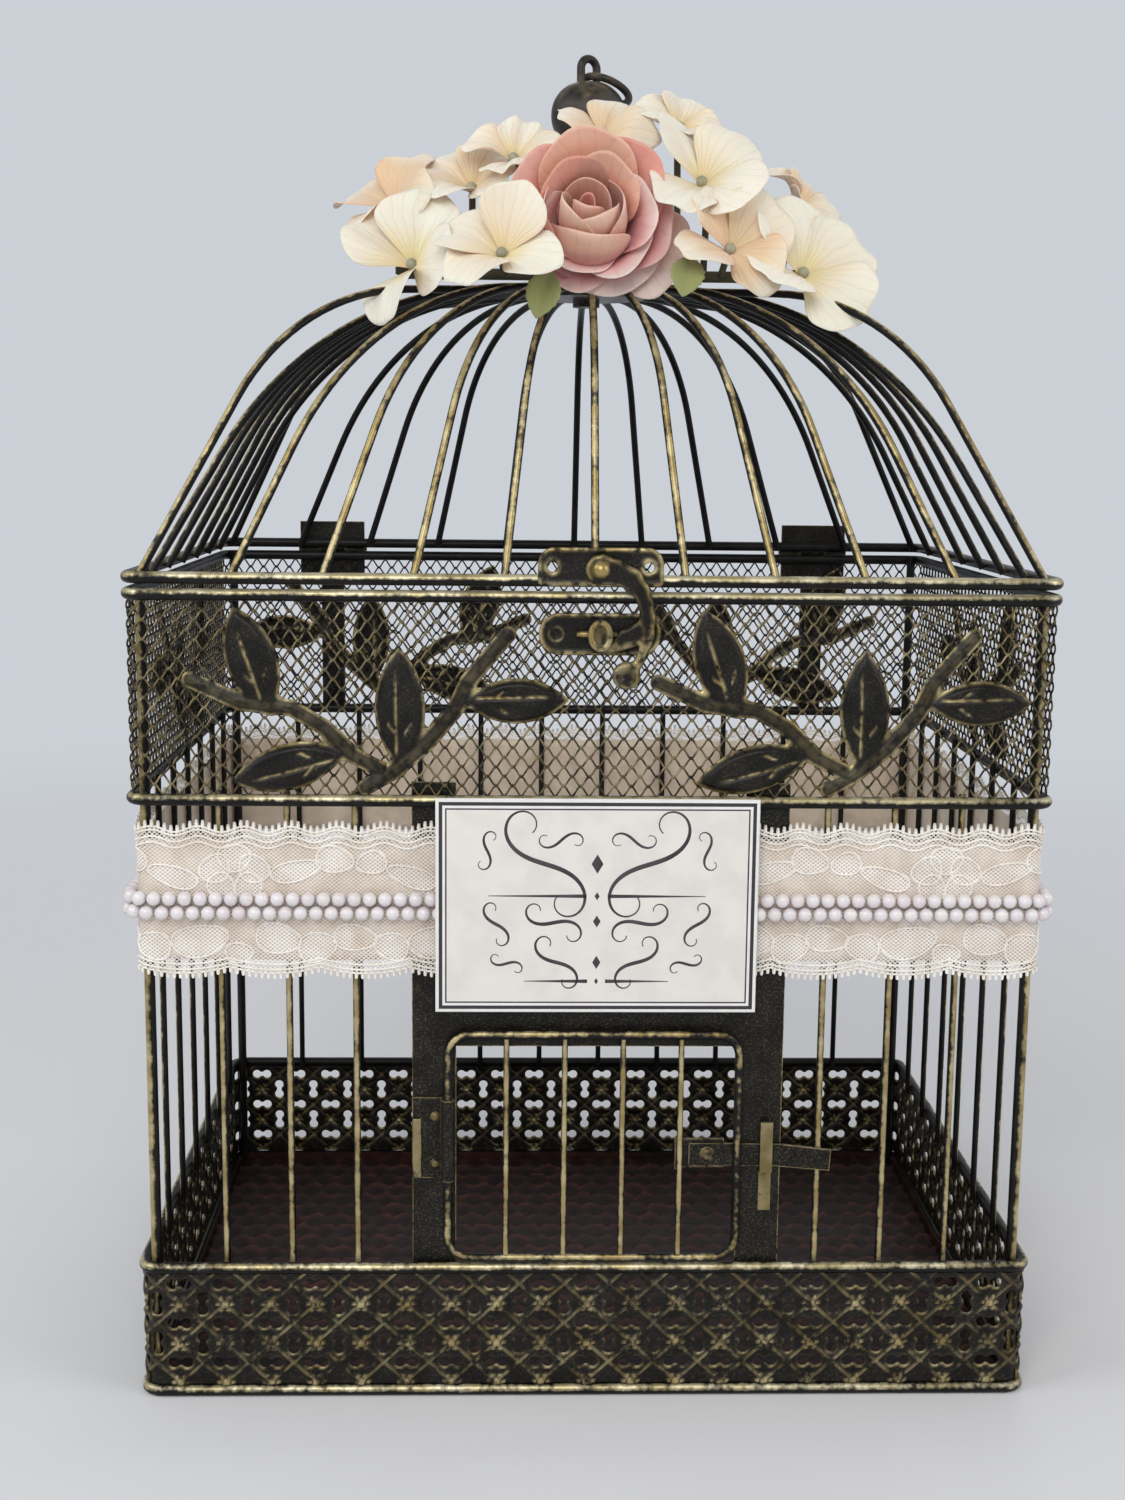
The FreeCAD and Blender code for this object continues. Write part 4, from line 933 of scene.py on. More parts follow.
@dataclass(frozen=True)
class SilkFinish:
    """Dyed silk petals, with the colour changing from foot to tip and by petal."""

    name: str
    foot: Colour
    tip: Colour
    blush: Colour
    pale: Colour = (0.90, 0.83, 0.70)
    foot_share: Flat = (0.10, 0.55)
    veins: float = 5.0
    vein_depth: float = 0.25
    vein_shade: float = 0.10

    def material(self, effects: SharedEffects) -> Material:
        """Build the material."""
        made, sketch, shader = start_material(self.name, Roughness=0.78, Sheen_Weight=0.35, Sheen_Roughness=0.5,
                                              Subsurface_Weight=0.22, Subsurface_Scale=0.003)
        pressed = effects.place(sketch, Effect.PETAL_VEINS, Count=self.veins)
        clouds = pressed["Mottle"] - 0.5
        along = clouds * 0.3 + sketch.value("along")
        colour = sketch.mix(along.span(*self.foot_share), self.foot, self.tip)
        for name, dye in (("tint", self.blush), ("pale", self.pale)):
            dyed = sketch.value(name)
            share = (clouds * 0.35 + dyed) * dyed.math("GREATER_THAN", 0.01)
            colour = sketch.mix(share.clamped(), colour, dye)
        lines = (1.0 - pressed["Veins"]) * self.vein_shade
        sketch.fill(shader, Base_Color=sketch.mix(lines, colour, self.foot))
        add_bump(sketch, shader, pressed["Veins"], self.vein_depth, 0.8)
        return made


class Palette:
    """Every finish of the object, built once."""

    def __init__(self, effects: SharedEffects) -> None:
        """Build the materials.

        Args:
            effects: The shared node groups.
        """
        self.effects = effects

        def bronze(name: str, facing: float = 0.0, **chosen: object) -> Material:
            """Build one kind of bronze paint."""
            return BronzeFinish(name, facing, **chosen).material(effects)

        def plain(*chosen: object) -> Material:
            """Build one plain matt finish."""
            return GrainFinish(*chosen).material(effects)

        self.wire = bronze("bronze_wire", 0.8, patches=0.45, start=0.5)
        # Rings: a narrow pale-gold band on the upper outer side, mostly a painted highlight for light from above,
        # over dry-brushed gold.
        self.ring = bronze("bronze_ring", 0.95, patches=0.3, lift=0.8, start=0.90, gold=(0.50, 0.42, 0.22),
                           gold_pale=(0.82, 0.74, 0.50))
        # Door frame: dry-brushed gold on the outer side, with extra gold on up-facing sides as a painted
        # highlight.
        self.door_wire = bronze("bronze_door", 0.85, patches=0.5, lift=0.5, start=0.82)
        self.sheet = bronze("bronze_sheet", edge=1.0, dust=0.13)
        self.cast = bronze("bronze_cast", 0.45, patches=0.8, edge=0.8)
        self.brass = bronze("rubbed_brass", 0.6, patches=0.9, edge=0.7, gold=(0.30, 0.23, 0.09),
                            gold_pale=(0.50, 0.41, 0.21))
        self.rivet = bronze("gold_rivet", 1.0, patches=0.3, start=-0.7)
        self.stamped = bronze("bronze_stamped", stamped=1.0, dust=0.06)
        self.mesh = bronze("bronze_mesh", stamped=0.75)
        self.finial = bronze("bronze_finial", 0.12, patches=1.0, edge=0.3, paint=(0.020, 0.016, 0.013),
                             paint_light=(0.075, 0.062, 0.052))
        self.floor = FloorFinish().material(effects)
        self.ribbon = RibbonFinish().material(effects)
        self.net = LaceFinish("ivory_lace_net", net=True).material(effects)
        self.thread = LaceFinish("ivory_lace_thread", net=False).material(effects)
        self.pearl = PearlFinish().material(effects)
        self.ink = plain("printed_ink", (0.030, 0.028, 0.032), (0.06, 0.055, 0.06))
        self.foam = plain("white_foam", (0.75, 0.74, 0.72), (0.88, 0.87, 0.85), 0.8)
        self.bead = plain("flower_eye", (0.24, 0.25, 0.18), (0.46, 0.44, 0.30), 0.4, 1200.0)
        # Stems: dark olive brown rather than green wrapping, a painted shade so that they read as shadow under
        # the flowers.
        self.stem = plain("wrapped_stem", (0.055, 0.050, 0.028), (0.12, 0.11, 0.06), 0.7)
        # Rose: deep crimson at the petal feet, spread over most of each petal, partly dye and partly painted
        # shade deep inside the flower.
        self.rose = SilkFinish("dusty_rose_silk", foot=(0.40, 0.08, 0.09), tip=(0.70, 0.24, 0.25),
                               blush=(0.82, 0.47, 0.31), pale=(0.90, 0.68, 0.62), foot_share=(0.25, 0.9),
                               veins=6.0, vein_depth=0.12, vein_shade=0.06).material(effects)
        self.hydrangea = SilkFinish("ivory_hydrangea_silk", foot=(0.88, 0.70, 0.36), tip=(0.91, 0.82, 0.69),
                                    blush=(0.82, 0.55, 0.35), foot_share=(0.08, 0.58), vein_depth=0.16,
                                    vein_shade=0.03).material(effects)
        self.leaf = SilkFinish("green_leaf_silk", foot=(0.13, 0.20, 0.05), tip=(0.24, 0.31, 0.10),
                               blush=(0.35, 0.33, 0.12), veins=8.0).material(effects)


# Metal sub-assemblies


@dataclass
class SubAssembly:
    """What every sub-assembly is built from: the cage's plan and the finishes."""

    plan: CagePlan
    palette: Palette

    def build(self) -> None:
        """Make the pieces."""
        raise NotImplementedError


@dataclass
class WireCage(SubAssembly):
    """Rings, posts, bars and dome wires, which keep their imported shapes."""

    def build(self) -> None:
        """Give the wires their finishes."""
        rings = ["base_bottom_ring", "base_top_ring", "mid_ring", "body_top_ring", "lid_ring"]
        bars = ["corner_posts", "front_bars", "back_bars", "side_bars_left", "side_bars_right", "door_wires"]
        dome = ["dome_wires_" + word for word in ("front", "back", "left", "right", "corner")]
        dress_nodes(self.palette.ring, rings)
        dress_nodes(self.palette.door_wire, ["door_frame"])
        dress_nodes(self.palette.wire, bars + dome)
        dress_nodes(self.palette.finial, ["dome_cap", "finial_knob", "finial_bolt", "finial_eye", "carry_ring"])


@dataclass
class StampedBand(SubAssembly):
    """Pressed lattice strip between the two base rings: bosses, ribs and waisted holes."""

    pitch_x: float = 15.6
    pitch_z: float = 14.4
    boss_z: float = 33.8
    tall_rows: Tuple[float, ...] = (33.8, 19.4)
    lobe_r: float = 1.95
    lobe_place: float = 2.25
    waist: float = 1.05
    rib_half: float = 0.75
    rib_height: float = 0.75
    boss_r: float = 3.6
    boss_height: float = 1.1
    boss_lobes: int = 6
    boss_wave: float = 0.26
    dimple_r: float = 1.5
    dimple_half: float = 0.45
    dimple_depth: float = 0.35
    face_depth: float = 0.3
    thickness: float = 0.7
    cells_for_pitch: int = 22

    def hole(self, along: Array, side: Array) -> Array:
        """Signed distance to one waisted hole, above zero inside it."""
        lobes = self.lobe_r - np.hypot(np.abs(along) - self.lobe_place, side)
        bar = np.minimum(self.lobe_place - np.abs(along), self.waist - np.abs(side))
        return np.maximum(lobes, bar)

    def distance(self, u: Array, z: Array) -> Array:
        """Signed distance to the nearest hole, below zero in the sheet."""
        wide_z = z - (self.boss_z + self.pitch_z / 2)
        wide = self.hole(u - np.round(u / self.pitch_x) * self.pitch_x,
                         wide_z - np.round(wide_z / self.pitch_z) * self.pitch_z)
        tall_u = u - (np.floor(u / self.pitch_x) + 0.5) * self.pitch_x
        tall = [self.hole(z - row, tall_u) for row in self.tall_rows]
        return np.maximum.reduce([wide] + tall)

    def relief(self, u: Array, z: Array) -> Tuple[Array, Array]:
        """Work out the ribs and the flower-shaped bosses.

        Args:
            u: Across measures.
            z: Up measures.

        Returns:
            Height above the sheet and share of gold, with painted highlights on the lower rims of the holes.
        """
        share_u, share_z = u / self.pitch_x, (z - self.boss_z) / self.pitch_z
        spacing = self.pitch_x * self.pitch_z / math.hypot(self.pitch_x, self.pitch_z)
        ribs = np.zeros_like(u)
        for share in (share_u + share_z, share_u - share_z):
            off = np.abs(share - np.round(share)) * spacing
            ribs = np.maximum(ribs, np.clip(1 - (off / self.rib_half) ** 2, 0, None))
        boss_u = (share_u - np.round(share_u)) * self.pitch_x
        boss_z = (share_z - np.round(share_z)) * self.pitch_z
        away = np.hypot(boss_u, boss_z)
        lobes = np.cos(self.boss_lobes * np.arctan2(boss_z, boss_u))
        boss = arch(away / (self.boss_r * (1 - self.boss_wave + self.boss_wave * lobes)))
        dimple = bell(away, self.dimple_r, self.dimple_half)
        height = np.maximum(self.rib_height * ribs, self.boss_height * boss - self.dimple_depth * dimple)
        # Bright gold on the lower rims of the holes, dimmer on the others: mostly a painted highlight where light
        # catches the rims.
        step = 0.3
        below = np.clip((self.distance(u, z + step) - self.distance(u, z - step)) / (2 * step), 0, 1) ** 2
        lower_rim_highlight = (0.1 + 0.9 * below) * bell(self.distance(u, z), -0.2, 0.4)
        gold = np.maximum(0.45 * smooth_step(ribs, 0.5, 0.95), smooth_step(boss - 0.5 * dimple, 0.3, 0.8))
        return height, np.maximum(gold, lower_rim_highlight)

    def build(self) -> None:
        """Make one strip for each wall, bent half way round its corners."""
        low = self.plan.base_low_z + self.plan.ring_r
        high = self.plan.base_high_z - self.plan.ring_r
        cell = (self.pitch_x / self.cells_for_pitch, self.pitch_z / self.cells_for_pitch)
        for wall in Wall:
            half = self.plan.bent_half(wall)
            u, z, faces = stamped_grid((-half, half), (low, high), cell, self.distance, False)
            height, gold = self.relief(u, z)
            draft = MeshDraft("rub")
            draft.add(self.plan.on_wall(wall, u, self.face_depth + height, z), faces, rub=gold)
            draft.place("lattice_band_" + wall.word, self.palette.stamped, "cage", "bronzed_sheet",
                        ["base_lattice_" + wall.word], self.thickness)


@dataclass
class WovenBand(SubAssembly):
    """Chain-link mesh between the middle ring and the top ring, carried round the corners."""

    pitch_x: float = 5.65
    rows: int = 20
    wire_r: float = 0.35
    swing: float = 0.42
    hook_over: float = 0.42
    kink: float = 0.985
    ring_bite: float = 0.2
    gold: float = 0.65
    gold_swing: float = 0.12
    steps: int = 8
    sides: int = 5

    def build(self) -> None:
        """Make the zigzag wires of each wall."""
        low = self.plan.mid_z + self.plan.ring_r
        high = self.plan.top_z - self.plan.ring_r
        pitch_z = (high - low) / self.rows
        outer_side = smooth_step(np.sin(full_turn(self.sides)), -0.2, 0.7)
        for wall in Wall:
            half = self.plan.bent_half(wall)
            periods = round(2 * half / self.pitch_x)
            phase = np.linspace(0, 2 * math.pi * periods, periods * self.steps + 1)
            u = -half + 2 * half * phase / phase[-1]
            draft = MeshDraft("rub")
            for row in range(self.rows):
                turn = phase + math.pi * row
                rise = np.arcsin(self.kink * np.sin(turn)) / math.asin(self.kink)
                z = low + (row + 0.5) * pitch_z + rise * (pitch_z / 2 + self.hook_over)
                z = np.clip(z, low - self.ring_bite, high + self.ring_bite)
                path = self.plan.on_wall(wall, u, self.swing * np.cos(turn), z)
                gold = self.gold + self.gold_swing * np.cos(turn)
                draft.tube(path, self.wire_r, self.plan.outward(wall), self.sides, by_side=outer_side, rub=gold)
            draft.place("woven_mesh_" + wall.word, self.palette.mesh, "cage", "bronzed_mesh",
                        ["mesh_panel_" + wall.word])


@dataclass
class LeafSprigs(SubAssembly):
    """Pressed sheet sprigs of two stems and four leaves, welded on the mesh."""

    stem_r: float = 3.0
    stems: Tuple[Tuple[Flat, ...], ...] = (
        ((0.0, 2.7), (8.7, 7.8), (19.7, 17.0), (28.9, 28.0), (33.5, 38.0), (46.5, 53.5)),
        ((5.0, 8.5), (-4.1, 13.3), (-13.3, 22.5), (-24.3, 28.9), (-41.0, 30.7), (-57.0, 38.0)),
    )
    leaves: Tuple[Leaf, ...] = (
        ((11.5, 8.5), (11.0, 49.5), 17.0),
        ((32.0, 31.2), (67.0, 32.1), 15.5),
        ((-31.0, 27.0), (-42.8, 62.3), 17.5),
        ((-6.0, 14.5), (-44.5, 4.2), 16.0),
    )
    front_places: Tuple[float, ...] = (-75.0, 78.0)
    side_places: Tuple[float, ...] = (-4.0,)
    u_range: Flat = (-64.0, 70.0)
    z_range: Flat = (-0.5, 66.0)
    step: float = 0.5
    blend: float = 1.2
    blend_back: float = 0.25
    face_depth: float = 1.1
    thickness: float = 0.9
    edge_height: float = 0.8
    bulge: float = 1.3
    groove: float = 0.8
    slit_place: float = 1.3
    slit_half: float = 0.6
    fork_start: float = 0.26
    fork_slope: float = 0.8
    fork_scale: float = 1.28

    def leaf_frame(self, leaf: Leaf, u: Array, z: Array) -> Tuple[Array, Array, Array, float]:
        """Measure points in one leaf's own frame.

        Args:
            leaf: Foot, tip and width.
            u: Across measures.
            z: Up measures.

        Returns:
            Share along the leaf, distance beside its middle line, signed distance to its edge, half length.
        """
        (u0, z0), (u1, z1), width = leaf
        length = math.hypot(u1 - u0, z1 - z0)
        ahead = ((u1 - u0) / length, (z1 - z0) / length)
        along = (u - u0) * ahead[0] + (z - z0) * ahead[1]
        beside = -(u - u0) * ahead[1] + (z - z0) * ahead[0]
        half, side = length / 2, width / 2
        radius = (half ** 2 + side ** 2) / (2 * side)
        edge = np.hypot(along - half, np.abs(beside) + radius - side) - radius
        return along / length, beside, edge, half

    def stem_distance(self, u: Array, z: Array) -> Array:
        """Signed distance to the stems."""
        runs = [run for stem in self.stems for run in zip(stem, stem[1:])]
        return np.minimum.reduce([from_line(u, z, *run)[0] for run in runs]) - self.stem_r

    def distance(self, u: Array, z: Array) -> Array:
        """Signed distance to the sprig's outline."""
        leaves = [self.leaf_frame(leaf, u, z)[2] for leaf in self.leaves]
        return soft_union([self.stem_distance(u, z)] + leaves, self.blend) + self.blend_back

    def relief(self, u: Array, z: Array) -> Tuple[Array, Array]:
        """Work out the pressed face.

        Args:
            u: Across measures.
            z: Up measures.

        Returns:
            Height above the sheet and share of gold.
        """
        inside = -self.distance(u, z)
        height = self.edge_height * smooth_step(inside, 0.0, 2.6)
        stem_gold = 0.12 * smooth_step(-self.stem_distance(u, z), 0.9, 2.2)
        gold = np.maximum(1.2 * bell(inside, 0.0, 0.65), stem_gold)
        for leaf in self.leaves:
            along, beside, edge, half = self.leaf_frame(leaf, u, z)
            aside = np.abs(beside)
            within = smooth_step(-edge, 0.2, 2.5)
            height = height + self.bulge * within * np.clip(1 - (2 * along - 1) ** 2, 0, 1)
            span = smooth_step(along, 0.10, 0.18) * (1 - smooth_step(along, 0.70, 0.84)) * within
            fork = np.abs(aside - (along - self.fork_start) * 2 * half * self.fork_slope) / self.fork_scale
            reach = smooth_step(aside, 1.0, 1.5) * (1 - smooth_step(aside, 3.8, 4.8))
            line = np.minimum(np.abs(beside - self.slit_place), fork + 3.0 * (1 - reach))
            height = height - self.groove * span * bell(line, 0.0, self.slit_half)
            gold = np.maximum(gold, span * bell(line, 0.0, 0.4))
        return height, np.clip(gold, 0, 1)

    def build(self) -> None:
        """Make the sprigs of every wall."""
        u, z, faces = stamped_grid(self.u_range, self.z_range, (self.step, self.step), self.distance)
        height, gold = self.relief(u, z)
        foot = self.plan.mid_z + self.plan.ring_r
        for wall in Wall:
            draft = MeshDraft("rub")
            for place in self.front_places if wall.wide else self.side_places:
                points = self.plan.on_wall(wall, u + place, self.face_depth + height, z + foot)
                draft.add(points, faces, rub=gold)
            name = ("leaf_sprigs_" if wall.wide else "leaf_sprig_") + wall.word
            draft.place("pressed_" + name, self.palette.stamped, "cage", "bronzed_sheet", [name], self.thickness)


@dataclass
class FloorSheet(SubAssembly):
    """Floor pan with a pressed scale pattern and an upright rim."""

    scale_x: float = 9.5
    scale_y: float = 11.0
    scale_height: float = 0.9
    scale_bow: float = 0.42
    cell: float = 1.5
    sheet_z: float = 1.0
    rim_z: float = 4.0
    rim_t: float = 1.0
    rim_steps: int = 240

    def build(self) -> None:
        """Make the sheet and its rim."""
        inset = self.plan.ring_r + self.rim_t
        half_x, half_y, inner = (size - inset for size in (self.plan.half_x, self.plan.half_y, self.plan.corner))
        outline = partial(from_rounded_box, half_x=half_x, half_z=half_y, corner=inner)
        x, y, faces = stamped_grid((-half_x, half_x), (-half_y, half_y), (self.cell, self.cell), outline)
        across = x / self.scale_x + 0.5 * np.mod(np.floor(y / self.scale_y), 2)
        bow = self.scale_bow * (2 * np.abs(across - np.round(across))) ** 2
        share = np.mod(y / self.scale_y + bow, 1.0)
        pan = MeshDraft("rub")
        pan.add(np.stack([x, y, self.sheet_z + self.scale_height * share], -1), faces, rub=share ** 3)
        pan.place("scale_floor", self.palette.floor, "cage", "floor_sheet", ["floor_pan"], self.sheet_z)
        loop = Loop(half_x, half_y, inner)
        along = np.linspace(0, loop.length, self.rim_steps, endpoint=False)
        profile = ((0.0, 0.0), (self.rim_t, 0.0), (self.rim_t, self.rim_z), (0.0, self.rim_z))
        rings = np.stack([loop.at(along, out, z) for out, z in profile], 1)
        count = len(profile)
        rim = MeshDraft("rub")
        rim.add(rings, grid_faces(self.rim_steps + 1, count, True) % (self.rim_steps * count), rub=0.3)
        rim.place("floor_rim", self.palette.floor, "cage", "floor_sheet", smooth=False)


@dataclass
class FrontDoor(SubAssembly):
    """Door surround, hinge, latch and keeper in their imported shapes, with the strap's folded edge."""

    fold_x: Flat = (-60.3, -56.9)
    fold_z: Flat = (79.4, 100.4)
    fold_depth: float = -0.55
    fold_crown: float = 0.5
    fold_t: float = 0.4
    fold_points: Tuple[int, int] = (43, 9)

    def build(self) -> None:
        """Dress the door's plates and make the fold."""
        plates = ["door_surround", "door_hinge_strap", "door_latch_lug", "door_latch_lever"]
        dress_nodes(self.palette.sheet, plates)
        dress_nodes(self.palette.brass, ["door_keeper"])
        dress_nodes(self.palette.cast, ["door_hinge_rivets", "door_latch_rivet"])
        rows, columns = self.fold_points
        share, z = np.meshgrid(np.linspace(-1, 1, columns), np.linspace(*self.fold_z, rows))
        low, high = self.fold_x
        u = (low + high) / 2 + (high - low) / 2 * share
        draft = MeshDraft()
        draft.add(self.plan.on_wall(Wall.FRONT, u, self.fold_depth + self.fold_crown * arch(share), z),
                  grid_faces(rows, columns))
        draft.place("strap_fold", self.palette.brass, "cage", "bronzed_sheet", thickness=self.fold_t)


@dataclass
class LidClasp(SubAssembly):
    """Pressed plates, a cast hook on its rivet and the ringed stud that it catches.

    Places are measured from the rivet, and depths outward from the ring plane.
    """

    clasp_x: float = 1.5
    rivet_z: float = 287.6
    cell: float = 0.35
    plate_t: float = 1.15
    rim_in: float = 0.9
    rim_height: float = 0.45
    hasp_half_w: float = 20.4
    hasp_z: Flat = (-5.5, 7.1)
    hasp_corners: Flat = (1.6, 5.4)
    hasp_depth: float = 3.0
    screw_spread: float = 15.7
    screw_z: float = 0.7
    screw_r: float = 1.6
    catch_half: Flat = (20.0, 6.9)
    catch_z: float = -21.2
    catch_depth: float = 1.35
    dimple: Triple = (-14.3, -21.2, 2.3)
    dimple_depth: float = 0.7
    hook_range: Tuple[Flat, Flat] = ((-6.0, 19.0), (-40.0, 6.0))
    hook_depth: float = 4.2
    hook_crown: float = 1.1
    hook_round: float = 1.5
    hook_t: float = 0.9
    hook_blend: float = 0.45
    hook_blend_back: float = 0.2
    arm: Tuple[Triple, ...] = ((0.0, 0.0, 5.25), (4.6, -0.6, 4.3), (10.0, -3.0, 3.6), (13.0, -6.6, 2.9),
                               (14.7, -11.0, 2.5), (15.4, -16.0, 2.6), (15.1, -20.6, 2.5), (14.9, -23.6, 1.9),
                               (12.4, -30.4, 1.6), (8.6, -34.4, 2.4))
    arm_bend: Flat = (4.0, -13.0)
    ball: Triple = (8.6, -34.4, 4.8)
    ball_crown: float = 1.7
    claw_r: Triple = (20.4, 23.8, 27.4)
    claw_degrees: Flat = (-96.0, -52.0)
    claw_step: Flat = (70.0, 84.0)
    pin_hole_r: float = 1.6
    stud_depth: float = 6.6
    stud_half: Flat = (3.1, 4.2)
    stud_ring_r: float = 1.05
    neck_depths: Triple = (1.2, 3.4, 6.6)
    neck_r: float = 2.1
    pin_x: Flat = (-7.7, 5.3)
    pin_z: float = 0.4
    pin_r: float = 0.95
    pin_depth: float = 5.5

    def at(self, x: object, z: object, depth: object) -> Array:
        """Points of the clasp."""
        return self.plan.on_wall(Wall.FRONT, np.asarray(x) + self.clasp_x, depth, np.asarray(z) + self.rivet_z)

    def build(self) -> None:
        """Make the plates, the hook and the stud, and dress the rivet."""
        half = self.hasp_half_w
        self.build_plate("hasp", (-half, half), self.hasp_z, self.hasp_distance, self.hasp_depth, "lid")
        wide, tall = self.catch_half
        span = (self.catch_z - tall, self.catch_z + tall)
        self.build_plate("catch", (-wide, wide), span, self.catch_distance, self.catch_depth, "cage")
        self.build_hook()
        self.build_stud()
        dress_nodes(self.palette.rivet, ["hasp_rivet"])

    def hasp_distance(self, x: Array, z: Array) -> Array:
        """Signed distance to the hasp plate, whose upper corners are rounder than its lower ones.

        Args:
            x: Across measures.
            z: Up measures.

        Returns:
            Distances, below zero in the sheet.
        """
        low, high = self.hasp_z
        middle = (low + high) / 2
        corner = np.where(z > middle, self.hasp_corners[1], self.hasp_corners[0])
        outline = from_rounded_box(x, z - middle, self.hasp_half_w, (high - low) / 2, corner)
        return np.maximum(outline, self.screw_r - np.hypot(np.abs(x) - self.screw_spread, z - self.screw_z))

    def catch_distance(self, x: Array, z: Array) -> Array:
        """Signed distance to the catch plate, a bar with round ends."""
        wide, tall = self.catch_half
        return np.hypot(np.clip(np.abs(x) - wide + tall, 0, None), z - self.catch_z) - tall

    def build_plate(self, name: str, x_range: Flat, z_range: Flat, distance: Outline, depth: float,
                    body: str) -> None:
        """Make a pressed plate with a raised, rubbed rim.

        Args:
            name: First word of the piece's name and its node's.
            x_range: Span across.
            z_range: Span up.
            distance: Signed distance to its outline.
            depth: Depth of its face.
            body: Body that it moves with.
        """
        x, z, faces = stamped_grid(x_range, z_range, (self.cell, self.cell), distance)
        inside = -distance(x, z)
        dent_x, dent_z, dent_r = self.dimple
        away = np.hypot(x - dent_x, z - dent_z)
        dent = 1 - smooth_step(away, 0.4 * dent_r, dent_r)
        height = self.rim_height * bell(inside, self.rim_in, 0.7) - self.dimple_depth * dent
        gold = np.maximum(0.95 * bell(inside, 0.5, 0.75), 0.4 * bell(away, dent_r, 0.4))
        draft = MeshDraft("rub")
        draft.add(self.at(x, z, depth + height), faces, rub=gold)
        draft.place(name + "_pressing", self.palette.stamped, body, "bronzed_sheet", [name + "_plate"],
                    self.plate_t)

    def hook_distance(self, x: Array, z: Array) -> Array:
        """Signed distance to the hook: arm, neck and drop, and a claw cut back to pass the stud.

        Args:
            x: Across measures.
            z: Up measures.

        Returns:
            Distances, below zero in the hook.
        """
        parts = []
        for start, end in zip(self.arm, self.arm[1:]):
            away, share = from_line(x, z, start, end)
            parts.append(away - start[2] - share * (end[2] - start[2]))
        parts.append(np.hypot(x - self.ball[0], z - self.ball[1]) - self.ball[2])
        radius, angle = np.hypot(x, z), np.degrees(np.arctan2(z, x))
        blade, finger, outer = self.claw_r
        inner = blade + (finger - blade) * smooth_step(-angle, *self.claw_step)
        first, last = self.claw_degrees
        ends = np.radians(np.maximum(first - angle, angle - last)) * radius
        parts.append(np.maximum(np.maximum(inner - radius, radius - outer), ends))
        return np.maximum(soft_union(parts, self.hook_blend) + self.hook_blend_back, self.pin_hole_r - radius)

    def build_hook(self) -> None:
        """Make the hook with rounded edges, a bright outer edge and a domed drop."""
        x, z, faces = stamped_grid(*self.hook_range, (self.cell, self.cell), self.hook_distance)
        inside = -self.hook_distance(x, z)
        rounded = arch(1 - np.clip(inside / self.hook_round, 0, 1))
        dome = arch(np.hypot(x - self.ball[0], z - self.ball[1]) / self.ball[2])
        depth = self.hook_depth + self.hook_crown * rounded + self.ball_crown * dome
        outer = smooth_step(np.hypot(x - self.arm_bend[0], z - self.arm_bend[1]), 10.5, 13.5)
        neck = smooth_step(-z, 22.5, 25.0) * smooth_step(inside, 0.2, 0.9)
        gold = np.maximum.reduce([0.9 * outer * bell(inside, 0.6, 0.9), 0.85 * neck * (1 - 0.8 * dome),
                                  0.35 * bell(inside, 0.4, 0.5)])
        draft = MeshDraft("rub")
        draft.add(self.at(x, z, depth), faces, rub=gold)
        draft.place("swan_hook", self.palette.stamped, "hook", "bronzed_sheet", ["clasp_hook"], self.hook_t)

    def build_stud(self) -> None:
        """Make the stud: a neck, a dished head with a rolled rim, and a cross pin."""
        draft = MeshDraft("rub")
        facing = self.plan.outward(Wall.FRONT)
        neck = np.stack([self.at(0.0, self.catch_z, depth) for depth in self.neck_depths])
        draft.tube(neck, self.neck_r, UP, 16)
        half_x, half_z = self.stud_half
        draft.ball(self.at(0.0, self.catch_z, self.stud_depth - 0.3), (half_x, 0.6, half_z), 8, 24, rub=0.35)
        turn = full_turn(36)
        rim = self.at(half_x * np.cos(turn), self.catch_z + half_z * np.sin(turn), self.stud_depth)
        draft.tube(rim, self.stud_ring_r, facing, 10, closed=True, rub=1.0)
        swell = self.pin_r * np.array([0.7] + 7 * [1.0] + [0.7])
        reach = np.linspace(*self.pin_x, len(swell))
        draft.tube(self.at(reach, self.catch_z + self.pin_z, self.pin_depth), swell, facing, 10, rub=0.9)
        draft.place("ringed_stud", self.palette.stamped, "cage", "bronzed_sheet", ["catch_stud"])


@dataclass
class LidHinges(SubAssembly):
    """Back hinges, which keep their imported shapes."""

    def build(self) -> None:
        """Give the hinges their finish."""
        dress_nodes(self.palette.sheet, ["hinge_body_leaves", "hinge_lid_leaves"])
        dress_nodes(self.palette.cast, ["hinge_pins"])


# Trim


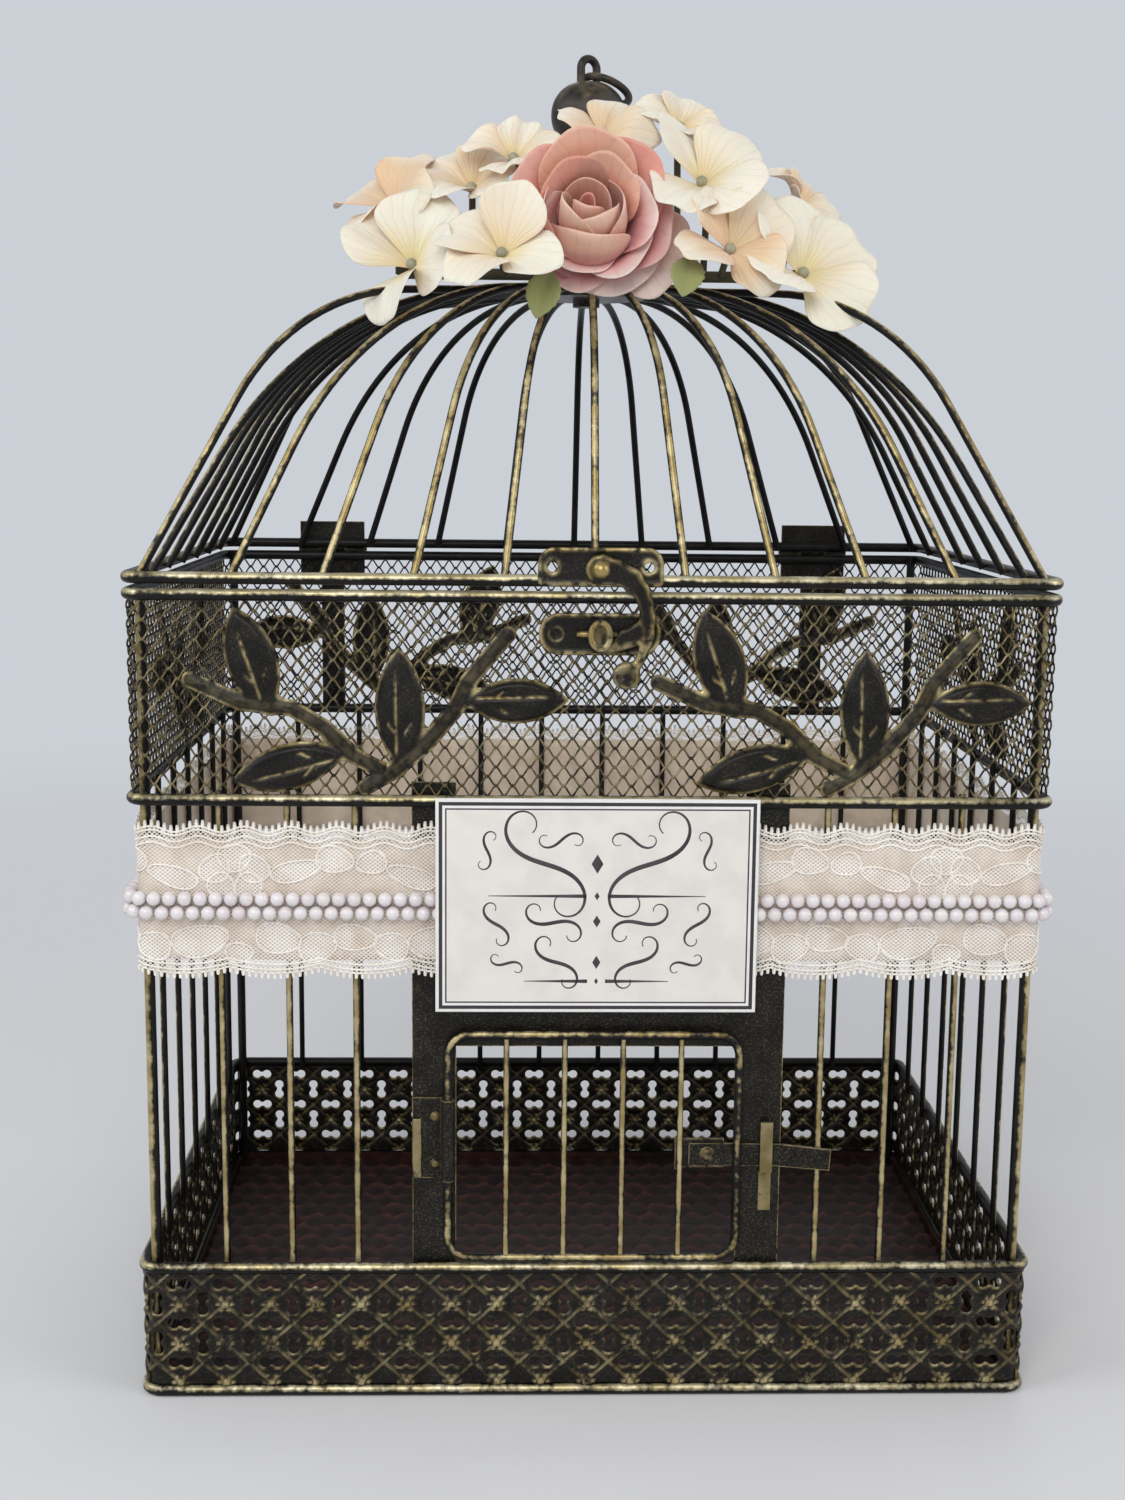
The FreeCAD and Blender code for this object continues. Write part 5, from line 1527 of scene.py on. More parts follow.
@dataclass
class LaceTrim(SubAssembly):
    """Cream ribbon, scalloped lace and two rows of pearls round the cage."""

    bar_depth: float = -1.9
    corner: float = 4.0
    ribbon_z: Flat = (156.0, 197.0)
    ribbon_t: float = 0.5
    ribbon_cells: Tuple[int, int] = (460, 12)
    lace_z: Flat = (152.6, 200.6)
    lace_out: float = 0.60
    lace_ripple: float = 0.14
    net_cells: Tuple[int, int] = (690, 32)
    cord_out: float = 0.12
    motif_cord_r: float = 0.33
    edge_out: float = 0.1
    edge_cord_r: float = 0.36
    edge_cords: Tuple[Tuple[float, ...], ...] = ((0.0, -1.2, -3.4, -5.4), (0.0, 1.2, 3.0))
    top_pitch: float = 15.5
    top_wave: float = 1.0
    lobe_pitch: float = 30.0
    lobe_drop: float = 2.4
    tooth_pitch: float = 2.1
    tooth_lengths: Flat = (1.8, 2.2)
    tooth_shares: Triple = (-0.2, 0.4, 1.0)
    tooth_r: Triple = (0.40, 0.65, 0.45)
    repeat: float = 79.0
    bead_r: float = 2.45
    bead_pitch: float = 5.1
    bead_rows: Flat = (172.7, 177.5)
    bead_out: float = 3.8
    # Motif loops in one repeat: middle along and up, half sizes, tilt in degrees
    motifs: Tuple[Tuple[float, float, float, float, float], ...] = (
        (0.0, 191.0, 5.4, 4.6, 0.0), (6.4, 187.2, 5.2, 4.6, -35.0), (-6.4, 187.2, 5.2, 4.6, 35.0),
        (4.4, 181.4, 4.6, 4.2, 40.0), (-4.4, 181.4, 4.6, 4.2, -40.0), (20.0, 186.5, 8.5, 3.4, 14.0),
        (-20.0, 184.5, 8.5, 3.4, -18.0), (33.0, 190.5, 6.2, 4.4, -10.0), (-33.5, 189.5, 5.0, 3.8, 10.0),
        (14.0, 163.5, 7.5, 5.2, -12.0), (27.0, 160.5, 6.4, 5.0, 18.0), (39.5, 163.8, 7.2, 4.4, -5.0),
        (-12.0, 162.5, 9.5, 5.4, 10.0), (-27.0, 160.8, 5.8, 4.6, -16.0), (1.0, 158.5, 4.6, 3.4, 0.0),
    )

    def loop(self, out: float) -> Loop:
        """The loop at a distance out from the bars."""
        reach = self.bar_depth + out
        return Loop(self.plan.half_x + reach, self.plan.half_y + reach, self.corner + out)

    def build(self) -> None:
        """Make ribbon, lace and pearls."""
        ribbon = self.build_ribbon()
        self.build_lace(ribbon)
        self.build_pearls()

    def build_ribbon(self) -> Thing:
        """Make the ribbon as a closed band of thin cloth."""
        loop = self.loop(0.1)
        columns, rows = self.ribbon_cells
        low, high = self.ribbon_z
        s, z = np.meshgrid(np.linspace(0, loop.length, columns, endpoint=False), np.linspace(low, high, rows + 1))
        wave = 0.12 * (1 + np.sin(s / 9.0 + z / 21.0) * np.sin(s / 23.0))
        edge = 0.25 * np.sin(s / 14.0)
        draft = MeshDraft("u_mm", "z_mm")
        draft.add(loop.at(s, self.ribbon_t + wave, z + edge), grid_faces(rows + 1, columns, True), u_mm=s,
                  z_mm=z)
        ribbon = draft.place("cream_ribbon", self.palette.ribbon, "cage", "ribbon", ["ribbon_band"], 0.3)
        loop.length * MM
        return ribbon

    def edges(self, along: Array, length: float) -> Tuple[Array, Array]:
        """Heights of the lace's lower and upper edges along the loop."""
        lobes = round(length / self.lobe_pitch)
        waves = round(length / self.top_pitch)
        lower = self.lace_z[0] + self.lobe_drop / 2
        lower = lower - self.lobe_drop * np.abs(np.sin(math.pi * lobes * along / length)) ** 0.8
        upper = self.lace_z[1] + self.top_wave * np.cos(2 * math.pi * waves * along / length)
        return lower, upper

    def build_lace(self, ribbon: Thing) -> None:
        """Make the net, its corded motifs and its toothed edges.

        Args:
            ribbon: The ribbon that the lace lies on; not used.
        """
        loop = self.loop(self.ribbon_t + 0.1)
        columns, rows = self.net_cells
        along = np.linspace(0, loop.length, columns, endpoint=False)
        lower, upper = self.edges(along, loop.length)
        z = lower + (upper - lower) * np.linspace(0, 1, rows + 1)[:, None]
        s = np.broadcast_to(along, z.shape)
        repeats = round(loop.length / self.repeat)
        local = (np.mod(s * repeats / loop.length + 0.5, 1.0) - 0.5) * self.repeat
        inside = np.zeros_like(z)
        for middle, height, half_u, half_z, tilt in self.motifs:
            a = math.radians(tilt)
            du, dz = local - middle, z - height
            span = np.hypot((du * math.cos(a) + dz * math.sin(a)) / half_u,
                            (-du * math.sin(a) + dz * math.cos(a)) / half_z)
            inside = np.maximum(inside, 1 - smooth_step(span, 0.88, 1.05))
        draft = MeshDraft(*CLOTH_VALUES)
        faces = grid_faces(rows + 1, columns, True)
        draft.add(loop.at(s, self.lift(s, z), z), faces, u_mm=s, z_mm=z, motif=inside)
        net = draft.place("lace_net", self.palette.net, "cage", "lace", ["lace_band"])
        cords = self.build_cords(loop, repeats)
        teeth = self.build_teeth(loop)
        width = float(np.mean(upper - lower))
        loop.length * MM

    def lift(self, along: Array, z: Array) -> Array:
        """Distance that the lace stands out from the ribbon."""
        return self.lace_out + self.lace_ripple * (np.sin(along / 7.0) * np.sin(z / 6.0) + np.sin(along / 31.0))

    def build_cords(self, loop: Loop, repeats: int) -> Thing:
        """Make the cords that outline the motifs and follow the edges.

        Args:
            loop: Loop that the lace follows.
            repeats: Motif repeats once round.

        Returns:
            The cords as one piece.
        """
        draft = MeshDraft(*CLOTH_VALUES)
        turn = full_turn(26)
        stretch = loop.length / repeats / self.repeat
        for repeat in range(repeats):
            for middle, height, half_u, half_z, tilt in self.motifs:
                a = math.radians(tilt)
                petal = 1 + 0.06 * np.sin(3 * turn + middle)
                du, dz = half_u * np.cos(turn) * petal, half_z * np.sin(turn) * petal
                s = repeat * loop.length / repeats + stretch * (middle + du * math.cos(a) - dz * math.sin(a))
                z = height + du * math.sin(a) + dz * math.cos(a)
                path = loop.at(s, self.lift(s, z) + self.cord_out, z)
                draft.tube(path, self.motif_cord_r, loop.facing(s), 5, closed=True)
        along = np.linspace(0, loop.length, 900, endpoint=False)
        lower, upper = self.edges(along, loop.length)
        for edge, offsets in zip((upper, lower), self.edge_cords):
            for z in (edge + offset for offset in offsets):
                path = loop.at(along, self.lift(along, z) + self.edge_out, z)
                draft.tube(path, self.edge_cord_r, loop.facing(along), 5, closed=True)
        return draft.place("lace_cords", self.palette.thread, "cage", "lace")

    def build_teeth(self, loop: Loop) -> Thing:
        """Make the short teeth along both edges.

        Args:
            loop: Loop that the lace follows.

        Returns:
            The teeth as one piece.
        """
        draft = MeshDraft(*CLOTH_VALUES)
        count = round(loop.length / self.tooth_pitch)
        places = np.arange(count) * loop.length / count
        for s, low, high in zip(places, *self.edges(places, loop.length)):
            for edge, reach in ((low, -self.tooth_lengths[0]), (high, self.tooth_lengths[1])):
                z = edge + reach * np.array(self.tooth_shares)
                here = np.full(len(z), s)
                path = loop.at(here, self.lift(here, z) + self.edge_out, z)
                draft.tube(path, self.tooth_r, loop.facing(here), 6)
        return draft.place("lace_teeth", self.palette.thread, "cage", "lace")

    def build_pearls(self) -> None:
        """Make both rows of pearls, half a pitch apart."""
        loop = self.loop(self.bead_out)
        count = round(loop.length / self.bead_pitch)
        draft = MeshDraft()
        for row, z in enumerate(self.bead_rows):
            along = (np.arange(count) + 0.5 * row) * loop.length / count
            for centre in loop.at(along, 0.0, z):
                draft.ball(centre, (self.bead_r,) * 3, 8, 12)
        draft.place("pearl_rows", self.palette.pearl, "cage", "pearl_beads", ["bead_rows"])


@dataclass
class SignCard(SubAssembly):
    """Printed card on foam pads, with a scroll ornament in place of words."""

    rounding: float = 0.25
    stroke: float = 0.80
    ink_depth: float = 0.07
    pad_half: float = 6.0
    pad_square: float = 0.35
    # Scrolls of the right half: place and lift of the middle, length, winding, heading and weight
    scrolls: Tuple[Tuple[float, float, float, float, float, float], ...] = (
        (17.5, 14.5, 76.0, 5.2, 0.30, 1.0),
        (12.0, 22.5, 26.0, 4.6, 2.4, 0.6),
        (36.5, 19.0, 24.0, 4.8, 1.1, 0.6),
        (14.5, -5.5, 38.0, 5.0, -0.2, 0.8),
        (33.5, -6.0, 28.0, 4.8, 0.5, 0.7),
        (13.5, -19.0, 38.0, 5.0, 0.25, 0.8),
        (30.0, -19.5, 20.0, 4.6, -0.3, 0.6),
    )
    # Rules: lift, start and end; lozenges: lift and half height
    rules: Tuple[Triple, ...] = ((3.6, 3.5, 36.0), (-25.5, 3.0, 24.0))
    lozenges: Tuple[Flat, ...] = ((14.5, 3.2), (3.6, 1.3), (-5.0, 2.0), (-19.0, 2.2), (-25.5, 1.0))

    def build(self) -> None:
        """Make the card, its ornament and the pads."""
        low, high = (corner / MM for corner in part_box("sign_card"))
        finish = CardFinish("printed_card", (tuple(low), tuple(high))).material(self.palette.effects)
        inset = np.array([0, self.rounding, -self.rounding, 0])
        x, z = (np.array([start, start, end, end]) + inset for start, end in ((low.x, high.x), (low.z, high.z)))
        grid_x, grid_z = np.meshgrid(x, z)
        edge = np.array([self.rounding, 0, 0, self.rounding])
        sink = np.maximum(*np.meshgrid(edge, edge))
        faces = grid_faces(4, 4)
        draft = MeshDraft()
        draft.add(np.stack([grid_x, low.y + sink, grid_z], -1), faces)
        draft.add(np.stack([grid_x, high.y - sink, grid_z], -1), faces[:, ::-1])
        ring = [0, 1, 2, 3, 7, 11, 15, 14, 13, 12, 8, 4]
        for here, after in zip(ring, ring[1:] + ring[:1]):
            draft.faces.append([here, here + 16, after + 16, after])
        draft.place("printed_card", finish, "cage", "card_stock", ["sign_card"], smooth=False)
        self.build_ornament((low.x + high.x) / 2, low.y, (low.z + high.z) / 2)
        self.build_pads()

    def build_pads(self) -> None:
        """Make the foam pads, crowned where the card presses them."""
        low, high = (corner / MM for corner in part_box("card_pads"))
        half = self.pad_half
        draft = MeshDraft()
        for x in (low.x + half, high.x - half):
            for z in (low.z + half, high.z - half):
                centre = np.array([x, (low.y + high.y) / 2, z])
                draft.ball(centre, (half, (high.y - low.y) / 2, half), 24, 36, self.pad_square)
        pads = draft.place("foam_pads", self.palette.foam, "cage", "foam_pad", ["card_pads"])

    def scroll(self, length: float, wind: float, heading: float) -> Tuple[Array, Array, Array]:
        """Draw an S-scroll about its own middle.

        Args:
            length: Length of the line.
            wind: How far each end winds up, in radians.
            heading: Direction at its middle, in radians.

        Returns:
            Across and up measures, and the half width of the line.
        """
        steps = 120
        share = np.linspace(0, 1, steps + 1)
        angle = heading + wind * (2 * share - 1) ** 2
        across, up = (np.cumsum(part) * length / steps for part in (np.cos(angle), np.sin(angle)))
        swell = self.stroke * (0.28 + 0.72 * np.sin(math.pi * share) ** 2)
        return across - across[steps // 2], up - up[steps // 2], swell

    def build_ornament(self, x: float, y: float, z: float) -> None:
        """Make three tiers of scrolls, the same left and right, with lozenges between them.

        Args:
            x: Middle of the card.
            y: Its front face.
            z: Its middle height.
        """
        draft = MeshDraft()

        def stroke(across: object, up: object, swell: Array) -> None:
            """Draw one line of ink on the card."""
            path = np.stack(np.broadcast_arrays(x + np.asarray(across), y, z + np.asarray(up)), -1)
            draft.tube(path, swell, (0.0, -1.0, 0.0), 6, depth=self.ink_depth)

        for side in (-1, 1):
            for place, lift, length, wind, heading, weight in self.scrolls:
                across, up, swell = self.scroll(length, wind, heading)
                stroke(side * (place + across), lift + up, swell * weight)
            for lift, start, end in self.rules:
                stroke(side * np.linspace(start, end, 20), lift, self.stroke * np.linspace(0.8, 0.15, 20))
        point = np.linspace(-1, 1, 9)
        for lift, size in self.lozenges:
            stroke(0 * point, lift + size * point, 0.05 + 0.6 * size * (1 - np.abs(point)))
        draft.place("card_ornament", self.palette.ink, "cage", "card_stock")


# Silk flowers


def facing_frame(centre: Triple, direction: Triple) -> Array:
    """Frame of a flower.

    Args:
        centre: Its middle.
        direction: Where it looks.

    Returns:
        Rows of right, up, ahead and centre.
    """
    ahead = unit(np.array(direction))
    right = unit(np.cross(np.array(UP), ahead))
    return np.stack([right, np.cross(ahead, right), ahead, np.array(centre)])


def set_in_frame(points: Array, flower: Array) -> Array:
    """Move points from a flower's own frame to the object's."""
    return points @ flower[:3] + flower[3]


def petal_grid(rows: int, columns: int) -> Tuple[Array, Array]:
    """Shares along and across of a grid spread over a round outline, so that a petal has no corners."""
    along, across = np.meshgrid(np.linspace(-1, 1, rows), np.linspace(-1, 1, columns), indexing="ij")
    return (along * np.sqrt(1 - across ** 2 / 2) + 1) / 2, across * np.sqrt(1 - along ** 2 / 2)


@dataclass(frozen=True)
class Petal:
    """One loose petal: a rounded fan with a narrow foot and a soft wave."""

    length: float
    width: float
    cup: float
    droop: float
    ruffle: float
    lean: float
    rise: float = 1.6
    crease: float = 1.0
    rows: int = 17
    columns: int = 17

    def blade(self, rng: random.Random) -> Tuple[Array, Array, Array]:
        """Shape the petal along +X, facing +Z.

        Args:
            rng: Source of the small differences between petals.

        Returns:
            Points, share along and share across of each.
        """
        s, t = petal_grid(self.rows, self.columns)
        x = self.length * s * (1 + 0.03 * np.cos(5 * t + rng.uniform(0, 6)) * smooth_step(s, 0.5, 1.0))
        y = self.width / 2 * t * (0.25 + 0.75 * smooth_step(s, -0.05, 0.62))
        wave = np.sin(2.2 * math.pi * t + rng.uniform(0, 6)) * np.abs(t)
        wave = wave + 0.5 * np.sin(7 * t + rng.uniform(0, 6))
        z = self.cup * t * t * s + self.rise * np.sin(np.minimum(s / 0.55, 1.0) * math.pi / 2)
        z = z - self.droop * np.maximum(s - 0.45, 0) ** 2 / 0.3 + self.ruffle * wave * s ** 2
        z = z + self.lean * t * s - self.crease * bell(t, 0.0, 0.15) * np.sin(math.pi * s)
        return np.stack([x, y, z], -1).reshape(-1, 3), s.reshape(-1), t.reshape(-1)


@dataclass
class HydrangeaGroup(SubAssembly):
    """Blossoms of four ivory petals about a small bead."""

    node: str
    blossoms: Tuple[Tuple[Triple, Triple, float, float, float], ...]
    seed: int
    tilt: float = 0.45
    petal_width: float = 1.08
    bead_r: float = 2.0
    bead_lift: float = 2.2

    def build(self) -> None:
        """Make the petals and the beads."""
        rng = random.Random(self.seed)
        petals = MeshDraft(*PETAL_VALUES)
        beads = MeshDraft()
        for centre, direction, radius, tint, degrees in self.blossoms:
            flower = facing_frame(centre, direction)
            for quarter in range(4):
                length = radius * rng.uniform(0.94, 1.08)
                shape = Petal(length, length * self.petal_width * rng.uniform(0.92, 1.10), rng.uniform(-1.5, 5.0),
                              rng.uniform(0.0, 8.5), rng.uniform(0.7, 1.9), rng.uniform(-4.0, 4.0))
                points, along, across = shape.blade(rng)
                heading = math.radians(degrees) + quarter * math.pi / 2 + rng.uniform(-0.16, 0.16)
                points = turned(points, 0.2 + rng.uniform(-0.2, 0.2), "X")
                points = turned(points, -self.tilt + rng.uniform(-0.18, 0.18), "Y")
                points = turned(points, heading, "Z")
                points[:, 2] += 0.5 * (quarter % 2)
                # Peach dye by blossom and petal, stronger towards each petal's foot; the extra peach near the
                # foot is partly painted shade in the inner folds.
                dye = tint * rng.uniform(0.5, 1.3) + 0.35 * rng.random() ** 2
                blush = dye * (1 - 0.75 * smooth_step(along, 0.45, 0.95))
                petals.add(set_in_frame(points, flower), grid_faces(shape.rows, shape.columns),
                           along=along, across=across, tint=np.clip(blush, 0, 1))
            beads.ball(set_in_frame(np.array([0.0, 0.0, self.bead_lift]), flower), (self.bead_r,) * 3, 8, 10)
        petals.place(self.node + "_petals", self.palette.hydrangea, "lid", "hydrangea_petals", [self.node], 0.25)
        beads.place(self.node + "_eyes", self.palette.bead, "lid", "hydrangea_petals")


@dataclass(frozen=True)
class RosePetal:
    """One rose petal: where it stands round the heart, how far it opens and how it is dyed."""

    turn: float
    half_angle: float
    rim_r: float
    rim_z: float
    curl: float
    peach: float = 0.0
    pale: float = 0.0
    pale_rim: float = 0.0


@dataclass
class SilkRose(SubAssembly):
    """Open rose: a wrapped bud that looks up, inside a cup of petals and a ring of wider ones."""

    centre: Triple = (-0.5, -46.0, 403.2)
    direction: Triple = (-0.02, -0.97, 0.22)
    seed: int = 11
    rows: int = 20
    columns: int = 23
    bud_lean: float = 0.50
    bud_foot: Triple = (-1.5, -9.5, -1.0)
    cup_foot: Triple = (0.5, -2.5, 0.0)
    foot_z: float = -7.0
    heart: Triple = (12.0, 12.0, 9.0)
    # Angles run from the right, upward
    bud: Tuple[RosePetal, ...] = (
        RosePetal(262, 78, 14.6, 21.0, 1.2, peach=0.80, pale_rim=0.30),
        RosePetal(20, 80, 14.2, 24.0, 1.4, peach=0.75, pale_rim=0.50),
        RosePetal(150, 84, 15.0, 25.5, 2.2, peach=0.70, pale_rim=0.80),
        RosePetal(305, 84, 10.8, 25.0, 0.8, peach=0.90, pale_rim=0.35),
        RosePetal(205, 84, 10.0, 26.5, 1.0, peach=0.95, pale_rim=0.45),
        RosePetal(80, 88, 9.6, 26.0, 0.6, peach=0.80, pale_rim=0.25),
        RosePetal(250, 120, 5.6, 26.0, 0.4, peach=0.85, pale_rim=0.20),
        RosePetal(60, 140, 3.2, 24.5, 0.0, peach=0.50),
    )
    cup: Tuple[RosePetal, ...] = (
        RosePetal(188, 60, 18.0, 19.5, 1.8, peach=0.35, pale_rim=0.9),
        RosePetal(250, 58, 17.8, 15.5, 2.6, pale_rim=0.9),
        RosePetal(318, 66, 20.0, 15.0, 3.2, pale_rim=1.0),
        RosePetal(10, 58, 20.5, 19.0, 2.6, pale=0.10, pale_rim=0.8),
        RosePetal(62, 60, 19.0, 24.0, 0.8, peach=0.80, pale_rim=0.2),
        RosePetal(125, 60, 19.5, 23.5, 0.6, peach=0.60),
    )
    outer: Tuple[RosePetal, ...] = (
        RosePetal(92, 60, 27.0, 16.5, 1.2, peach=0.85, pale_rim=0.3),
        RosePetal(148, 54, 28.0, 13.5, 2.0, peach=0.50, pale_rim=0.3),
        RosePetal(204, 52, 26.0, 10.0, 2.6, peach=0.10, pale_rim=0.4),
        RosePetal(246, 50, 23.5, 8.0, 3.2, pale=0.10, pale_rim=0.6),
        RosePetal(296, 58, 25.5, 6.0, 4.0, pale=0.35, pale_rim=0.8),
        RosePetal(352, 54, 27.5, 12.0, 2.4, pale_rim=0.6),
        RosePetal(40, 54, 27.5, 15.5, 1.6, peach=0.40),
        RosePetal(334, 40, 35.0, 1.5, 3.0, pale=1.0),
    )

    def shares(self, shape: RosePetal, rng: random.Random) -> Tuple[Array, Array, Array]:
        """Lay a petal out flat.

        Args:
            shape: The petal; not used.
            rng: Source of the small differences between petals.

        Returns:
            Share along, share across and height of the wave.
        """
        s, t = petal_grid(self.rows, self.columns)
        wave = np.sin(3.4 * t + rng.uniform(0, 6)) * smooth_step(s, 0.45, 1.0)
        wave = wave + 0.5 * np.sin(8.0 * t + rng.uniform(0, 6)) * smooth_step(s, 0.75, 1.0)
        return s, t, wave

    def round_heart(self, shape: RosePetal, across: Array, radius: Array, height: Array) -> Array:
        """Points round the rose's axis, for a petal's shares across, radii and heights."""
        angle = np.radians(shape.turn + shape.half_angle * across)
        return np.stack([radius * np.cos(angle), radius * np.sin(angle), height], -1).reshape(-1, 3)

    def bud_petal(self, shape: RosePetal, rng: random.Random) -> Tuple[Array, Array, Array]:
        """Wrap one petal of the bud.

        Args:
            shape: The petal.
            rng: Source of the small differences between petals.

        Returns:
            Points, share along and share across.
        """
        s, t, wave = self.shares(shape, rng)
        lip = smooth_step(s, 0.72, 1.0) * shape.curl
        radius = shape.rim_r * np.sin(math.pi * (0.16 + 0.58 * s)) ** 0.8 * (1 + 0.10 * t) + lip
        points = self.round_heart(shape, t, radius, shape.rim_z * s - 0.4 * lip + 0.3 * wave)
        return turned(points, -self.bud_lean, "X") + np.array(self.bud_foot), s.reshape(-1), t.reshape(-1)

    def open_petal(self, shape: RosePetal, rng: random.Random) -> Tuple[Array, Array, Array]:
        """Open one petal of the cup or the outer ring.

        Args:
            shape: The petal.
            rng: Source of the small differences between petals.

        Returns:
            Points, share along and share across.
        """
        s, t, wave = self.shares(shape, rng)
        foot_r = 2.5 + 0.10 * shape.rim_r
        lip = smooth_step(s, 0.74, 1.0) * shape.curl
        radius = foot_r + (shape.rim_r - foot_r) * s ** 0.85 + 0.04 * shape.rim_r * (t + 0.9 * wave) + 0.7 * lip
        height = self.foot_z + (shape.rim_z - self.foot_z) * s ** 1.15 - 0.7 * lip + 0.45 * wave
        return self.round_heart(shape, t, radius, height), s.reshape(-1), t.reshape(-1)

    def build(self) -> None:
        """Make the heart and every petal."""
        rng = random.Random(self.seed)
        flower = facing_frame(self.centre, self.direction)
        draft = MeshDraft(*PETAL_VALUES)
        middle = (0.0, 0.0, 0.0)
        for ring, make, shift in ((self.bud, self.bud_petal, middle), (self.cup, self.open_petal, self.cup_foot),
                                  (self.outer, self.open_petal, middle)):
            for shape in ring:
                points, along, across = make(shape, rng)
                pale = shape.pale + shape.pale_rim * smooth_step(along, 0.70, 0.97)
                peach = shape.peach * rng.uniform(0.85, 1.1)
                blush = peach * (0.3 + 0.7 * smooth_step(along, 0.35, 0.8))
                draft.add(set_in_frame(points + np.array(shift), flower), grid_faces(self.rows, self.columns),
                          along=along, across=across, tint=np.clip(blush, 0, 1), pale=np.clip(pale, 0, 1))
        draft.place("rose_petals", self.palette.rose, "lid", "rose_petals", ["rose_bloom"], 0.25)
        # The heart fills the middle in the deep foot colour, partly painted shade.
        heart = MeshDraft(*PETAL_VALUES)
        heart.ball(set_in_frame(np.array([0.0, -2.0, self.foot_z]), flower), self.heart, 10, 20)
        heart.place("rose_heart", self.palette.rose, "lid", "rose_petals")


@dataclass
class GreenLeaves(SubAssembly):
    """Two toothed green leaves under the rose, and the wrapped stems."""

    spots: Tuple[Tuple[Triple, Triple], ...] = (
        ((-15.0, -68.5, 386.0), (-18.5, -73.0, 373.5)),
        ((33.0, -64.0, 391.0), (31.0, -71.0, 383.0)),
    )
    length: float = 18.0
    width: float = 11.0
    rows: int = 28
    columns: int = 11

    def build(self) -> None:
        """Make the leaves and dress the stems."""
        draft = MeshDraft(*PETAL_VALUES)
        s, t = np.meshgrid(np.linspace(0, 1, self.rows), np.linspace(-1, 1, self.columns), indexing="ij")
        teeth = 1 + 0.14 * np.mod(s * 7, 1.0) * np.abs(t) ** 3
        y = self.width / 2 * np.sin(math.pi * np.clip(s, 0.002, 0.998)) ** 0.8 * t * teeth
        z = 1.6 * np.abs(t) * np.sin(math.pi * s) - 1.5 * s ** 2
        points = np.stack([self.length * s, y, z], -1).reshape(-1, 3)
        for foot, tip in self.spots:
            along = unit(np.array(tip) - np.array(foot))
            side = unit(np.cross(np.array([0.0, -1.0, 0.15]), along))
            leaf = np.stack([along, side, np.cross(along, side), np.array(foot)])
            draft.add(set_in_frame(points, leaf), grid_faces(self.rows, self.columns), along=s, across=t,
                      tint=0.35)
        draft.place("toothed_leaves", self.palette.leaf, "lid", "leaf_silk", ["green_leaves"], 0.3)
        dress_nodes(self.palette.stem, ["flower_stems"])


# Middle, facing, radius over the petals, share of peach and spin in degrees of each blossom
HYDRANGEA_LEFT = (
    ((-62.0, -46.0, 387.5), (-0.35, -0.70, 0.60), 27.0, 0.05, 78.0),
    ((-31.0, -68.4, 389.5), (-0.16, -0.76, 0.62), 24.5, 0.15, 65.0),
    ((-70.0, -25.5, 410.0), (-0.50, -0.45, 0.72), 22.0, 1.00, 80.0),
    ((-42.0, -32.0, 415.0), (-0.15, -0.60, 0.78), 21.0, 0.40, 60.0),
    ((-27.5, -33.6, 425.0), (-0.05, -0.65, 0.75), 18.0, 0.30, 80.0),
)
HYDRANGEA_RIGHT = (
    ((3.5, -30.0, 434.0), (0.05, -0.65, 0.75), 19.0, 0.90, 60.0),
    ((37.5, -45.7, 416.5), (0.15, -0.72, 0.66), 26.0, 0.06, 45.0),
    ((46.5, -57.0, 393.0), (0.20, -0.78, 0.58), 23.0, 0.80, 30.0),
    ((72.5, -50.9, 386.0), (0.40, -0.72, 0.55), 27.0, 0.05, 20.0),
    ((75.0, -16.0, 412.5), (0.50, -0.45, 0.72), 17.0, 0.50, 45.0),
    ((31.0, -25.0, 438.0), (0.15, -0.70, 0.70), 17.0, 0.30, 70.0),
)


# Floor, light and camera


